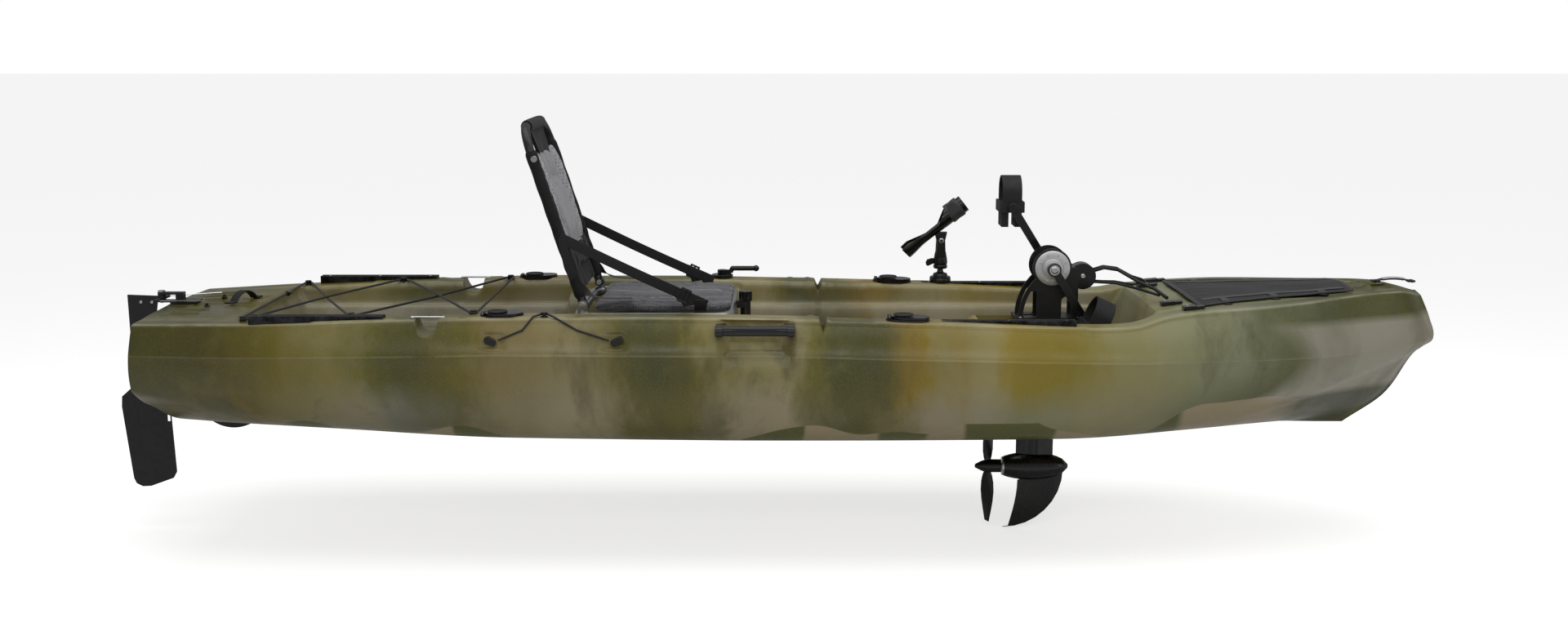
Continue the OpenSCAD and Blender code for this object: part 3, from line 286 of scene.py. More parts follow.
# ---- shader building ----
def colour(code, alpha=1.0):
    """An sRGB hex colour such as "#3a3b1c" as linear RGBA."""
    parts = np.array([int(code[k:k + 2], 16) for k in (1, 3, 5)]) / 255
    linear = np.where(parts <= 0.04045, parts / 12.92, ((parts + 0.055) / 1.055) ** 2.4)
    return (*linear.tolist(), alpha)


def node(tree, kind, inputs=None, stops=None, **settings):
    """Adds a shader node. settings are its properties, inputs its sockets' values or links, by name or
    number, and stops a colour ramp's (place, colour) pairs."""
    made = tree.nodes.new("ShaderNode" + kind)
    for key, value in settings.items():
        setattr(made, key, value)
    for key, value in (inputs or {}).items():
        if isinstance(value, bpy.types.NodeSocket):
            tree.links.new(value, made.inputs[key])
        else:
            made.inputs[key].default_value = value
    if stops:
        ramp = made.color_ramp
        while len(ramp.elements) < len(stops):
            ramp.elements.new(0.5)
        for element, (place, shade) in zip(ramp.elements, stops):
            element.position = place
        for element, (place, shade) in zip(ramp.elements, stops):
            element.color = shade
    return made


def new_material(name):
    """An empty material with its output, and the coordinates that its patterns read."""
    finish = bpy.data.materials.new(name)
    finish.use_nodes = True
    tree = finish.node_tree
    tree.nodes.clear()
    return finish, tree, node(tree, "TexCoord").outputs["Object"]


def close_material(tree, **sockets):
    """Adds the surface shader with its sockets set, and the material's output."""
    shader = node(tree, "BsdfPrincipled", {k.replace("_", " "): v for k, v in sockets.items()})
    node(tree, "OutputMaterial", {"Surface": shader.outputs[0]})


def value_ramp(tree, source, low, high, start=0.0, end=1.0):
    """source mapped from low..high to start..end and held beyond."""
    return node(tree, "MapRange", {"Value": source, "From Min": low, "From Max": high,
                                   "To Min": start, "To Max": end}, clamp=True).outputs[0]


def noise(tree, at, size_mm, detail=3.0, rough=0.5, distortion=0.0, dims="3D"):
    """Cloudy noise whose blobs are about size_mm across, from 0 to 1."""
    return node(tree, "TexNoise", {"Vector": at, "Scale": 1000 / size_mm, "Detail": detail,
                                   "Roughness": rough, "Distortion": distortion},
                noise_dimensions=dims).outputs[0]


def mixed(tree, amount, first, second, blend="MIX"):
    """Colours first and second mixed by amount."""
    made = node(tree, "Mix", data_type="RGBA", blend_type=blend)
    for key, value in ((0, amount), (6, first), (7, second)):
        if isinstance(value, bpy.types.NodeSocket):
            tree.links.new(value, made.inputs[key])
        else:
            made.inputs[key].default_value = value
    return made.outputs[2]


def calc(tree, operation, *values):
    """One Math node on its values."""
    return node(tree, "Math", dict(enumerate(values)), operation=operation).outputs[0]


def bump(tree, height, depth_mm, strength=1.0):
    """A normal from a height pattern of 0 to 1 that stands for depth_mm."""
    return node(tree, "Bump", {"Height": height, "Distance": depth_mm * MM,
                               "Strength": strength}).outputs[0]


# Bands of the pigment clouds along the hull: (metres from amidships, colour), above and below the bilge.
UPPER_BANDS = (
    (-1.62, "#4a481c"), (-1.45, "#4b4620"), (-1.27, "#6a6236"), (-1.15, "#807a58"), (-1.03, "#5c5a30"),
    (-0.95, "#47461f"), (-0.84, "#5a5422"), (-0.74, "#7d7355"), (-0.62, "#8b8367"), (-0.54, "#787152"),
    (-0.46, "#4f4c24"), (-0.38, "#41421d"), (-0.28, "#504c1e"), (-0.21, "#857f5e"), (-0.06, "#8e876b"),
    (0.00, "#66623a"), (0.06, "#44441c"), (0.17, "#4d4a1e"), (0.235, "#7d6820"), (0.30, "#8a8262"),
    (0.42, "#968d6c"), (0.50, "#8a7a3c"), (0.60, "#837847"), (0.72, "#8d8866"), (0.88, "#86856a"),
    (1.00, "#7c7f6a"), (1.12, "#5b5e44"), (1.28, "#44472a"), (1.45, "#4a4a24"), (1.62, "#4b4b28"),
)
LOWER_BANDS = (
    (-1.62, "#46421c"), (-1.35, "#5f5630"), (-1.22, "#7c7558"), (-1.08, "#87826f"), (-0.97, "#6a6a5e"),
    (-0.84, "#57543a"), (-0.74, "#7d7660"), (-0.62, "#8f8873"), (-0.52, "#87806a"), (-0.42, "#54502c"),
    (-0.30, "#5a5530"), (-0.21, "#8c8470"), (-0.08, "#948c78"), (0.00, "#6c6850"), (0.08, "#4e4c2a"),
    (0.19, "#5c5632"), (0.28, "#8e8673"), (0.40, "#8b8674"), (0.52, "#77775f"), (0.66, "#858068"),
    (0.80, "#7d7a62"), (0.95, "#5f624a"), (1.10, "#46492e"), (1.30, "#373a22"), (1.62, "#32351c"),
)
BAND_REACH = 1.75


def band_ramp(tree, along, bands):
    """The band colours at each place along the hull."""
    place = value_ramp(tree, along, -BAND_REACH, BAND_REACH)
    return node(tree, "ValToRGB", {"Fac": place}, stops=[
        ((x + BAND_REACH) / (2 * BAND_REACH), colour(code)) for x, code in bands]).outputs[0]


def camouflage_polyethylene():
    """Rotomoulded polyethylene, its pigments clouded in the mould: soft bands, smeared edges, crisp pools
    along the bottom, an orange-peel skin and edges rubbed pale."""
    finish, tree, at = new_material("rotomoulded polyethylene, clouded olive and sand")
    place = node(tree, "SeparateXYZ", {"Vector": at})
    x, y, z = place.outputs
    # the powder drifts up and down the mould wall, so the smears are taller than they are wide
    tall = node(tree, "Mapping", {"Vector": at, "Scale": (1.0, 0.8, 0.45)}).outputs[0]
    drift = calc(tree, "SUBTRACT", noise(tree, tall, 190, 5, 0.62), 0.5)
    fray = calc(tree, "SUBTRACT", noise(tree, tall, 34, 6, 0.7), 0.5)
    along = calc(tree, "MULTIPLY_ADD", drift, 0.30, x)
    along = calc(tree, "MULTIPLY_ADD", fray, 0.075, along)
    side = calc(tree, "MULTIPLY_ADD", y, 0.10, along)
    low = value_ramp(tree, calc(tree, "MULTIPLY_ADD", drift, 0.16, z), 0.20, 0.11)
    base = mixed(tree, low, band_ramp(tree, side, UPPER_BANDS), band_ramp(tree, side, LOWER_BANDS))
    # clouds of the other pigments
    cloud = noise(tree, tall, 260, 4, 0.6, 0.6)
    ochre = value_ramp(tree, cloud, 0.60, 0.72, 0, 0.34)
    base = mixed(tree, ochre, base, colour("#7d6a24"))
    shade = node(tree, "Mapping", {"Vector": at, "Location": (3.1, 0.7, 1.9),
                                   "Scale": (1, 0.8, 0.5)}).outputs[0]
    dark = value_ramp(tree, noise(tree, shade, 230, 5, 0.65, 0.4), 0.54, 0.66, 0, 0.55)
    base = mixed(tree, dark, base, colour("#34350f"))
    pale = node(tree, "Mapping", {"Vector": at, "Location": (7.3, 2.2, 0.4)}).outputs[0]
    frost = value_ramp(tree, noise(tree, pale, 120, 5, 0.6), 0.56, 0.78, 0, 0.16)
    base = mixed(tree, frost, base, colour("#a8a592"))
    # crisp-edged pools along the bottom: painted shade where dark and painted reflection where pale, standing
    # for the light in the bottom's hollows
    drawn = node(tree, "Mapping", {"Vector": at, "Scale": (1, 0.25, 0.5)}).outputs[0]
    pool_line = noise(tree, drawn, 330, 1, 0.4)
    pool_top = calc(tree, "ADD", value_ramp(tree, pool_line, 0.38, 0.66, -0.002, 0.080),
                    value_ramp(tree, x, 0.55, 1.05, 0.0, 0.045))
    painted_pool_mask = value_ramp(tree, calc(tree, "SUBTRACT", pool_top, z), -0.0012, 0.0012)
    shifted = node(tree, "Mapping", {"Vector": at, "Location": (1.7, 0, 0),
                                     "Scale": (1, 0.1, 0.1)}).outputs[0]
    kind = noise(tree, shifted, 210, 0, 0.4)
    # the pools' painted shade is dark olive and their painted reflection pale sand; a noise picks one for
    # each pool
    painted_pool_colour = mixed(tree, value_ramp(tree, kind, 0.49, 0.515), colour("#4b4d26"), colour("#958b77"))
    stern = value_ramp(tree, x, 1.25, 1.15)
    base = mixed(tree, calc(tree, "MULTIPLY", painted_pool_mask, stern), base, painted_pool_colour)
    settings = bpy.context.scene.kayak_hull
    base = node(tree, "HueSaturation", {"Saturation": settings.saturation, "Value": settings.value,
                                        "Color": base}).outputs[0]
    # fine salt-and-pepper of the powder grains
    grain = noise(tree, at, 2.6, 2, 0.8)
    base = mixed(tree, value_ramp(tree, grain, 0.45, 0.75, 0, 0.16), base, colour("#a39d84"))
    # inside the wells more of the pale powder settled
    well = calc(tree, "MULTIPLY", value_ramp(tree, calc(tree, "ABSOLUTE", y), 0.285, 0.262),
                value_ramp(tree, z, 0.306, 0.286))
    well = calc(tree, "MULTIPLY", well, value_ramp(tree, z, 0.10, 0.12))
    well = calc(tree, "MULTIPLY", well, value_ramp(tree, cloud, 0.62, 0.45, 0.25, 0.75))
    base = mixed(tree, well, base, colour("#a39d8d"))
    # edges painted paler: partly rubbed wear, partly painted highlight along the rim, the ledges and the
    # flash line
    edge = node(tree, "Attribute", attribute_name="edge").outputs["Fac"]
    rub_and_highlight = calc(tree, "MULTIPLY", edge, value_ramp(tree, noise(tree, at, 60, 5, 0.7), 0.30, 0.60, 0.25, 1.0))
    base = mixed(tree, calc(tree, "MULTIPLY", rub_and_highlight, 0.55), base, colour("#b9b394"))
    peel = noise(tree, at, 5.5, 2, 0.5)
    swell = noise(tree, at, 42, 2, 0.5)
    height = calc(tree, "MULTIPLY_ADD", swell, 2.2, peel)
    rough = value_ramp(tree, noise(tree, at, 75, 4, 0.6), 0.3, 0.7, 0.27, 0.42)
    close_material(tree, Base_Color=base, Roughness=rough, IOR=1.51, Normal=bump(tree, height, 0.35, 0.6))
    return finish


def moulded_plastic(name, code, roughness=0.42, grain_mm=1.6, pale="#3d3d3f"):
    """Moulded nylon or ABS: satin, with the mould's fine spark-eroded texture and light handling marks."""
    finish, tree, at = new_material(name)
    marks = value_ramp(tree, noise(tree, at, 34, 5, 0.7), 0.52, 0.78, 0, 0.22)
    base = mixed(tree, marks, colour(code), colour(pale))
    rough = value_ramp(tree, noise(tree, at, 16, 4, 0.6), 0.3, 0.7, roughness - 0.07, roughness + 0.10)
    texture = noise(tree, at, grain_mm, 2, 0.6)
    close_material(tree, Base_Color=base, Roughness=rough, IOR=1.53, Normal=bump(tree, texture, 0.10, 0.5))
    return finish


def rubber():
    """Matt neoprene-like rubber with a faint pebbled grain."""
    return moulded_plastic("thermoplastic rubber, moulded", "#0e0e0f", 0.66, 2.4, "#1c1c1d")


def metal(name, code, roughness, streak=(1.0, 1.0, 1.0), grain_mm=1.2, depth=0.03):
    """Bare metal. streak stretches the grain along the way it was brushed or drawn."""
    finish, tree, at = new_material(name)
    brushed = node(tree, "Mapping", {"Vector": at, "Scale": streak}).outputs[0]
    lines = noise(tree, brushed, grain_mm, 4, 0.7)
    tone = mixed(tree, value_ramp(tree, noise(tree, at, 22, 4, 0.6), 0.35, 0.7, 0, 0.25), colour(code),
                 colour("#85868a"))
    rough = value_ramp(tree, lines, 0.25, 0.75, roughness - 0.07, roughness + 0.10)
    close_material(tree, Base_Color=tone, Metallic=1.0, Roughness=rough, Normal=bump(tree, lines, depth, 0.6))
    return finish


def powder_coat():
    """Black powder coat on aluminium tube: satin, with a fine bumpy skin."""
    return moulded_plastic("aluminium tube, black powder coat", "#101011", 0.34, 3.0, "#2a2a2c")


def cloth_weave(tree, at, thread_mm, axes=(0, 2)):
    """Plain weave: two sets of rounded threads, thread_mm apart, each passing over and under the other."""
    parts = node(tree, "SeparateXYZ", {"Vector": at}).outputs
    turn = math.pi / (thread_mm * MM)
    a = calc(tree, "SINE", calc(tree, "MULTIPLY", parts[axes[0]], turn))
    b = calc(tree, "SINE", calc(tree, "MULTIPLY", parts[axes[1]], turn))
    over = calc(tree, "MULTIPLY", a, b)
    return calc(tree, "MULTIPLY_ADD", over, 0.5, 0.5)


def woven_cloth(name, code, light, thread_mm, axes, roughness=0.85, sheen=0.25):
    """Woven polyester. The threads are drawn coarser than the real 0.5 mm so that they show."""
    finish, tree, at = new_material(name)
    weave = cloth_weave(tree, at, thread_mm, axes)
    slub = noise(tree, at, 14, 5, 0.7)
    tone = mixed(tree, value_ramp(tree, slub, 0.3, 0.75, 0.0, 0.8), colour(code), colour(light))
    # painted shade: the weave's low places are darkened towards black
    tone = mixed(tree, value_ramp(tree, weave, 0.0, 0.6, 0.45, 0.0), tone, colour("#0c0c0d"))
    height = calc(tree, "MULTIPLY_ADD", slub, 0.6, weave)
    close_material(tree, Base_Color=tone, Roughness=roughness, Sheen_Weight=sheen, Sheen_Roughness=0.4,
                   Specular_IOR_Level=0.25, Normal=bump(tree, height, thread_mm * 0.3, 0.7))
    return finish


def spacer_mesh(name, code, light, cell_mm):
    """Knitted spacer mesh: a honeycomb of open cells over a darker backing."""
    finish, tree, at = new_material(name)
    cells = node(tree, "TexVoronoi", {"Vector": at, "Scale": 1000 / cell_mm, "Randomness": 0.25},
                 feature="DISTANCE_TO_EDGE").outputs["Distance"]
    ridge = value_ramp(tree, cells, 0.06, 0.30, 1.0, 0.0)
    fade = noise(tree, at, 45, 4, 0.6)
    tone = mixed(tree, ridge, colour(code), colour(light))
    tone = mixed(tree, value_ramp(tree, fade, 0.35, 0.7, 0, 0.35), tone, colour("#8a8a8e"))
    close_material(tree, Base_Color=tone, Roughness=0.88, Sheen_Weight=0.3, Specular_IOR_Level=0.2,
                   Normal=bump(tree, ridge, 0.8, 0.8))
    return finish


def webbing(name="polyester webbing, woven", code="#0e0e0f", light="#2c2c2e"):
    """Seat-belt webbing: ribs along its length from the UV map, with a chevron of shine."""
    finish, tree, _ = new_material(name)
    run = node(tree, "UVMap", uv_map="run").outputs[0]
    parts = node(tree, "SeparateXYZ", {"Vector": run}).outputs
    rib = calc(tree, "SINE", calc(tree, "MULTIPLY", parts[1], 2 * math.pi / 0.0022))
    pick = calc(tree, "SINE", calc(tree, "MULTIPLY", parts[0], 2 * math.pi / 0.003))
    weave = calc(tree, "MULTIPLY_ADD", calc(tree, "MULTIPLY", rib, pick), 0.5, 0.5)
    tone = mixed(tree, value_ramp(tree, weave, 0.2, 1.0, 0.0, 0.7), colour(code), colour(light))
    close_material(tree, Base_Color=tone, Roughness=0.62, Sheen_Weight=0.15, Specular_IOR_Level=0.35,
                   Normal=bump(tree, weave, 0.35, 0.8))
    return finish


def braided_cord():
    """Shock cord in a braided polyester sleeve: a diamond pattern that winds with the UV map."""
    finish, tree, _ = new_material("shock cord, braided polyester sleeve")
    run = node(tree, "UVMap", uv_map="run").outputs[0]
    parts = node(tree, "SeparateXYZ", {"Vector": run}).outputs
    wind = [calc(tree, "SINE", calc(tree, "ADD", calc(tree, "MULTIPLY", parts[0], 2 * math.pi / 0.004),
                                    calc(tree, "MULTIPLY", parts[1], sign * 2 * math.pi / 0.004)))
            for sign in (1, -1)]
    braid = calc(tree, "MULTIPLY_ADD", calc(tree, "MULTIPLY", wind[0], wind[1]), 0.5, 0.5)
    # painted shade and painted sheen: the braid's grooves are darker and its crests lighter
    tone = mixed(tree, value_ramp(tree, braid, 0.2, 1.0), colour("#0b0b0c"), colour("#303033"))
    close_material(tree, Base_Color=tone, Roughness=0.7, Sheen_Weight=0.1,
                   Normal=bump(tree, braid, 0.4, 0.8))
    return finish


FINISH = {}


def make_finishes():
    """Every finish of the kayak, by its short name."""
    FINISH.update({
        "hull": camouflage_polyethylene(),
        "nylon": moulded_plastic("glass-filled nylon, moulded black", "#0b0b0c", 0.42, 1.6, "#1c1c1d"),
        "gloss": moulded_plastic("ABS, moulded gloss black", "#08080a", 0.24, 2.2, "#161617"),
        "dull": moulded_plastic("polypropylene, moulded matt black", "#101011", 0.55, 1.2, "#202022"),
        "rubber": rubber(),
        "coat": powder_coat(),
        "rail": metal("extruded aluminium, black anodised", "#1b1b1d", 0.40, (0.05, 1, 1), 0.8),
        "aluminium": metal("aluminium, turned and bead blasted", "#e6e6e8", 0.38, (1, 1, 1), 0.9),
        "tube": metal("aluminium tube, drawn and clear anodised", "#a8a9ac", 0.30, (0.08, 1, 1), 1.0),
        "steel": metal("stainless steel, polished", "#d0d1d3", 0.16, (1, 1, 1), 2.0, 0.01),
        "gear": metal("case-hardened steel, ground", "#8c8d90", 0.28),
        "cover": woven_cloth("coated canvas, woven", "#19191b", "#2b2b2e", 2.6, (0, 1), 0.72, 0.15),
        "seat": woven_cloth("seat fabric, woven polyester", "#59595c", "#7a7a7e", 3.0, (0, 1)),
        "seat_side": spacer_mesh("seat side, knitted spacer mesh", "#242426", "#5c5c60", 6.5),
        "back": woven_cloth("backrest mesh, woven polyester", "#8a8a8e", "#b0b0b4", 3.2, (1, 2), 0.85, 0.35),
        "back_side": spacer_mesh("backrest side, knitted honeycomb mesh", "#74747a", "#adadb2", 9.0),
        "sleeve": woven_cloth("frame sleeve, ballistic nylon", "#121213", "#232325", 2.2, (1, 2), 0.7, 0.1),
        "webbing": webbing(),
        "cover_webbing": webbing("polyester webbing, woven charcoal", "#242426", "#48484b"),
        "pale_rubber": moulded_plastic("thermoplastic rubber, moulded pale grey", "#b4b5b8", 0.5, 2.0,
                                       "#d2d3d5"),
        "strap_grey": moulded_plastic("thermoplastic strap, moulded grey", "#3a3b3c", 0.6, 2.0, "#555557"),
        "cord": braided_cord(),
        "thread": moulded_plastic("bonded polyester thread, light grey", "#a9a9ac", 0.6, 0.8, "#cfcfd2"),
    })


# ---- the hull's form, in millimetres; t is the place as a fraction of the half length ----
HALF_LENGTH = round(HULL_HIGH[0] / MM)
HALF_BEAM = round(HULL_HIGH[1] / MM)
GUNWALE = 330
FLOOR, TANK_FLOOR, LEDGE, SEAT_RAIL, CONSOLE = 125, 215, 262, 298.7, 272
WELL_AFT, TANK_FORE, WELL_FORE = -0.845, -0.415, 0.52
CONSOLE_AFT, CONSOLE_FORE, SEAT_AFT, SEAT_FORE = 0.262, 0.474, -0.39, -0.09
STEP = 0.02
REFERENCE_INNER = 273
PLAN = ((-1, .78), (-.81, .92), (-.56, .985), (-.19, 1), (.19, 1), (.44, .955), (.62, .84), (.78, .67),
        (.9, .45), (.97, .29), (1, .15))
SHEER = ((-1, -27), (-.81, -17), (-.56, -5), (-.19, 0), (.19, -13), (.42, -27), (.5, -26), (.55, -9),
         (.62, 3), (.78, 15), (.955, 25), (1, 8))
TUMBLE = ((-1, 16), (-.81, 20), (-.56, 40), (0, 50), (.48, 46), (.56, 74), (.7, 48), (.85, 52),
          (.95, 24), (1, 14))
KEEL = ((-1, 18), (-.9, 14), (-.73, 10), (-.45, 4), (-.1, 0), (.5, 0), (.7, 3), (.9, 0), (1, 0))
FULL = ((-1, 1), (-.9, .95), (-.73, .8), (-.45, .55), (.4, .55), (.55, .72), (.75, 1.1), (.9, 1.5), (1, 1.6))
PARTING = ((-1, 229), (-.45, 246), (0, 243), (.5, 221), (.8, 216), (1, 226))
STEM = ((0, -204), (77, -103), (184, -42), (227, 0), (280, -10), (341, -34), (380, -50))
TRANSOM = ((18, 55), (87, 27), (106, 5), (135, -12), (297, 3), (330, 4))
NOTCH_AT = -0.55
HATCH_TIP = 0.245
DRAIN_NOTCH_AT = 0.034


def rim_at(t):
    """Height of the gunwale."""
    return GUNWALE + smooth(t, SHEER)


def beam_at(t):
    """Half beam at the parting line."""
    return HALF_BEAM * smooth(t, PLAN)


def crest_at(t):
    """Half width at the gunwale's outer edge."""
    return beam_at(t) - smooth(t, TUMBLE)


def inner_at(t):
    """Half width at the gunwale's inner edge."""
    return crest_at(t) - np.minimum(72, 0.3 * crest_at(t))


def deck_z(x, y):
    """Height of the closed deck: the rim plus a crown of 6.5 mm at the middle."""
    t = np.asarray(x) / HALF_LENGTH
    return rim_at(t) + 6.5 * np.maximum(0, 1 - np.abs(y) / inner_at(t)) ** 0.6


def step_between(t, low, high, width):
    """1 between low and high, with eased ramps of the given width outside them."""
    return ease((t - low + width) / width) * ease((high + width - t) / width)


def notches(t):
    """Depth of the cuts across the gunwale: a U for a paddle shaft and a small V for draining."""
    x = t * HALF_LENGTH
    u = np.clip(1 - ((x - NOTCH_AT * HALF_LENGTH) / 27) ** 2, 0, 1) ** 0.42 * 34
    v = np.clip(1 - np.abs(x - DRAIN_NOTCH_AT * HALF_LENGTH) / 9, 0, 1) ** 0.8 * 22
    return np.maximum(u, v)


def half_frames(t):
    """Half frames (places, points, [y, z]) from the keel up the side, over the rim and down the deck.
    The bilge is a superellipse y = b sin^e(a), z = top - depth cos^e(a); the tumblehome above the parting
    line goes as the 1.5th power of height; the deck is straight runs whose corners a running mean rounds."""
    t = t[:, None]
    b, zk, zp = beam_at(t), lookup(t, KEEL), lookup(t, PARTING)
    zr, e, w = rim_at(t), smooth(t, FULL), smooth(t, TUMBLE)
    k = inner_at(t) / REFERENCE_INNER
    cut = zr - notches(t)
    a = np.radians(90) * np.linspace(0, 1, 27)[None] ** 0.8
    bilge_y = b * np.sin(a) ** e
    bilge_z = zp - (zp - zk) * np.cos(a) ** e
    s = np.concatenate(([0.02], np.linspace(0.05, 1, 19)))[None]
    side_z = zp + (cut - 8 - zp) * s
    side_yy = b - w * np.clip((side_z - zp) / (zr - zp), 0, 1) ** 1.5
    turn = np.radians([22, 45, 68, 90])[None]
    top_y = side_yy[:, -1:]
    crest_y = top_y - 8 * (1 - np.cos(turn))
    crest_z = cut - 8 + 8 * np.sin(turn)
    rails = step_between(t, SEAT_AFT + 0.01, SEAT_FORE - 0.01, 0.01)
    drop = step_between(t, WELL_AFT + STEP, WELL_FORE, STEP * 1.2)
    console = step_between(t, CONSOLE_AFT + 0.012, CONSOLE_FORE - 0.012, 0.012)
    floor = TANK_FLOOR + ease((t - TANK_FORE) / STEP) * (FLOOR - TANK_FLOOR)
    foot = lookup(t, ((0.545, 240), (0.6, 190))) - 76 * rails
    ledge = LEDGE + rails * (SEAT_RAIL - LEDGE)

    def sunk(depth, crown):
        return zr + crown + drop * (depth - zr - crown)

    corners = [
        (top_y - 8, cut), (273 * k, np.minimum(zr + 0.5, cut + 0.5)), (267 * k, sunk(ledge, 1.2)),
        ((250 - 80 * rails) * k, sunk(ledge, 2)), (foot * k, sunk(floor, 2.8)), (60 * k, sunk(floor, 4.8)),
        (52 * k, sunk(floor, 5.1) + drop * console * (CONSOLE - floor)),
        (0 * k, sunk(floor, 6.0) + drop * console * (CONSOLE - floor)),
    ]
    runs = (8, 8, 6, 12, 12, 7, 5)
    deck_y, deck_zz = [], []
    for (y0, z0), (y1, z1), count in zip(corners, corners[1:], runs):
        f = np.arange(1, count + 1)[None] / count
        deck_y.append(y0 + (y1 - y0) * f)
        deck_zz.append(z0 + (z1 - z0) * f)
    deck_y, deck_zz = np.concatenate(deck_y, 1), np.concatenate(deck_zz, 1)
    y = np.concatenate((bilge_y, side_yy, crest_y, deck_y), 1)
    z = np.concatenate((bilge_z, side_z, crest_z, deck_zz), 1)
    first = bilge_y.shape[1] + side_yy.shape[1] + 2
    for _ in range(2):
        y[:, first:-1] = (y[:, first - 1:-2] + 2 * y[:, first:-1] + y[:, first + 1:]) / 4
        z[:, first:-1] = (z[:, first - 1:-2] + 2 * z[:, first:-1] + z[:, first + 1:]) / 4
    return np.stack((y, z), -1)


def hull_places():
    """Places of the frames: about 9 mm apart, and closer where the deck steps or is notched."""
    near = [WELL_AFT, WELL_AFT + STEP, TANK_FORE, TANK_FORE + STEP, SEAT_AFT, SEAT_FORE, CONSOLE_AFT,
            CONSOLE_FORE, WELL_FORE, WELL_FORE + STEP]
    extra = [c + np.linspace(-0.010, 0.010, 7) for c in near]
    extra += [NOTCH_AT + np.linspace(-0.02, 0.02, 21), DRAIN_NOTCH_AT + np.linspace(-0.008, 0.008, 13),
              np.linspace(-0.124, -0.100, 10), np.linspace(-0.030, -0.006, 10)]
    places = np.unique(np.concatenate([np.linspace(-1, 1, 306)] + extra).round(4))
    keep = np.concatenate(([True], np.diff(places) > 0.0011))
    keep[-1] = True
    return places[keep]


def pressed(p, x0, x1, z0, z1, depth, soft, side=0):
    """Sinks the side between the given lengths and heights by depth; side is 0 for both, else a y sign."""
    mask = plateau(p[..., 0], x0, x1, soft) * plateau(p[..., 2], z0, z1, soft)
    if side:
        mask = mask * (np.sign(p[..., 1]) == side)
    outer = np.abs(p[..., 1]) > crest_at(p[..., 0] / HALF_LENGTH) - 6
    p[..., 1] -= np.sign(p[..., 1]) * depth * mask * outer


def hollow(p, x0, x1, z0, z1, slope_x, slope_z, depth):
    """A recess in both sides with four flat slanted facets round a flat back, like a frustum."""
    x, z = p[..., 0], p[..., 2]
    part = np.minimum(np.minimum(x - x0, x1 - x) / slope_x, np.minimum(z - z0, z1 - z) / slope_z)
    outer = np.abs(p[..., 1]) > crest_at(x / HALF_LENGTH) - 6
    p[..., 1] -= np.sign(p[..., 1]) * depth * np.clip(part, 0, 1) * outer


def sunk_top(p, x0, x1, y0, y1, depth, soft):
    """Sinks (or raises, below 0) the deck between the given lengths and half widths by depth."""
    mask = plateau(p[..., 0], x0, x1, soft) * plateau(np.abs(p[..., 1]), y0, y1, soft)
    up = p[..., 2] > rim_at(p[..., 0] / HALF_LENGTH) - 40
    p[..., 2] -= depth * mask * up


def hull_surface():
    """The whole skin as rows of full frames, and how much each point lies on a rubbed edge."""
    t = hull_places()
    half = half_frames(t)
    ring = np.concatenate((half, half[:, -2:0:-1] * (-1, 1)), 1)
    z = ring[..., 1]
    x = t[:, None] * HALF_LENGTH
    x = x + smooth(np.clip(z, 0, 380), STEM) * np.clip((t[:, None] - 0.7) / 0.3, 0, 1) ** 1.5
    x = x + lookup(z, TRANSOM) * np.clip((-t[:, None] - 0.9) / 0.1, 0, 1)
    p = np.stack((x, ring[..., 0], z), -1)
    # thin flash line where the mould halves met
    flash = 27
    for column in (flash, ring.shape[1] - flash):
        p[:, column, 1] += np.sign(p[:, column, 1]) * 0.9
    L = HALF_LENGTH
    hollow(p, -0.1225 * L, -0.0070 * L, 238, 330, 32, 17, 27)
    # below a chine that climbs to the stem, the bow is drawn in
    chine = 92 + (p[..., 0] - 1165) * 0.30
    under = ease((chine - p[..., 2]) / 14) * ease((p[..., 0] - 1010) / 330) * (p[..., 2] < 230)
    p[..., 1] -= np.sign(p[..., 1]) * np.minimum(16 * under, 0.45 * np.abs(p[..., 1]))
    for x0 in (-0.4506, -0.2706):
        pressed(p, x0 * L - 26, x0 * L + 26, 262, 298, 5, 8, side=-1)
    for x0, x1, depth in ((-0.49, -0.39, -3.5), (-0.72, -0.60, -3), (0.012, 0.022, -3), (0.045, 0.108, 6),
                          (0.20, 0.425, -1.5), (-0.535, -0.505, -3)):
        sunk_top(p, x0 * L, x1 * L, 285, 350, depth, 9)
    for y0 in (100, 150):
        sunk_top(p, -0.972 * L, -0.925 * L, y0, y0 + 26, 9, 9)
    for y0 in (38, 62, 86):
        sunk_top(p, -0.905 * L, -0.855 * L, y0, y0 + 9, 4, 5)
    sunk_top(p, -0.955 * L, -0.90 * L, 0, 60, 6, 14)
    sunk_top(p, 0.845 * L, 0.90 * L, 0, 96, 10, 12)
    sunk_top(p, 0.905 * L, 0.93 * L, 0, 60, 6, 8)
    sunk_top(p, 0.604 * L, 0.82 * L, 0, 140, 3, 10)
    # the ends are closed by rows that draw in to the middle plane
    closing = ((0.985, 2.0), (0.94, 4.0), (0.84, 5.5), (0.62, 6.6), (0.3, 7.2), (0.0, 7.4))
    def closed(row, way):
        return np.stack([np.stack((row[:, 0] + way * out, row[:, 1] * f, row[:, 2]), -1)
                         for f, out in closing])
    p = np.concatenate((closed(p[0], -1)[::-1], p, closed(p[-1], 1)))
    n = ring.shape[1]
    column = np.arange(n)
    side = np.minimum(column, n - column)
    # edges painted pale round the rim, along the ledges and on the flash line: partly wear, partly painted
    # highlight, with less of it in the notches
    rim_out, rim_in, ledge_in = 27 + 20 + 3, 27 + 20 + 4 + 8, 27 + 20 + 4 + 8 + 8
    edge = (np.exp(-((side - rim_out) / 1.6) ** 2) + 0.9 * np.exp(-((side - rim_in) / 1.3) ** 2)
            + 0.7 * np.exp(-((side - ledge_in) / 1.5) ** 2)
            + 0.6 * np.exp(-((side - ledge_in - 6) / 1.2) ** 2) + 0.35 * (side == 27))
    cut = np.concatenate((np.zeros(len(closing)), notches(t), np.zeros(len(closing))))
    return p, np.clip(edge, 0, 1)[None] * (1 - 0.8 * ease(cut / 4))[:, None]


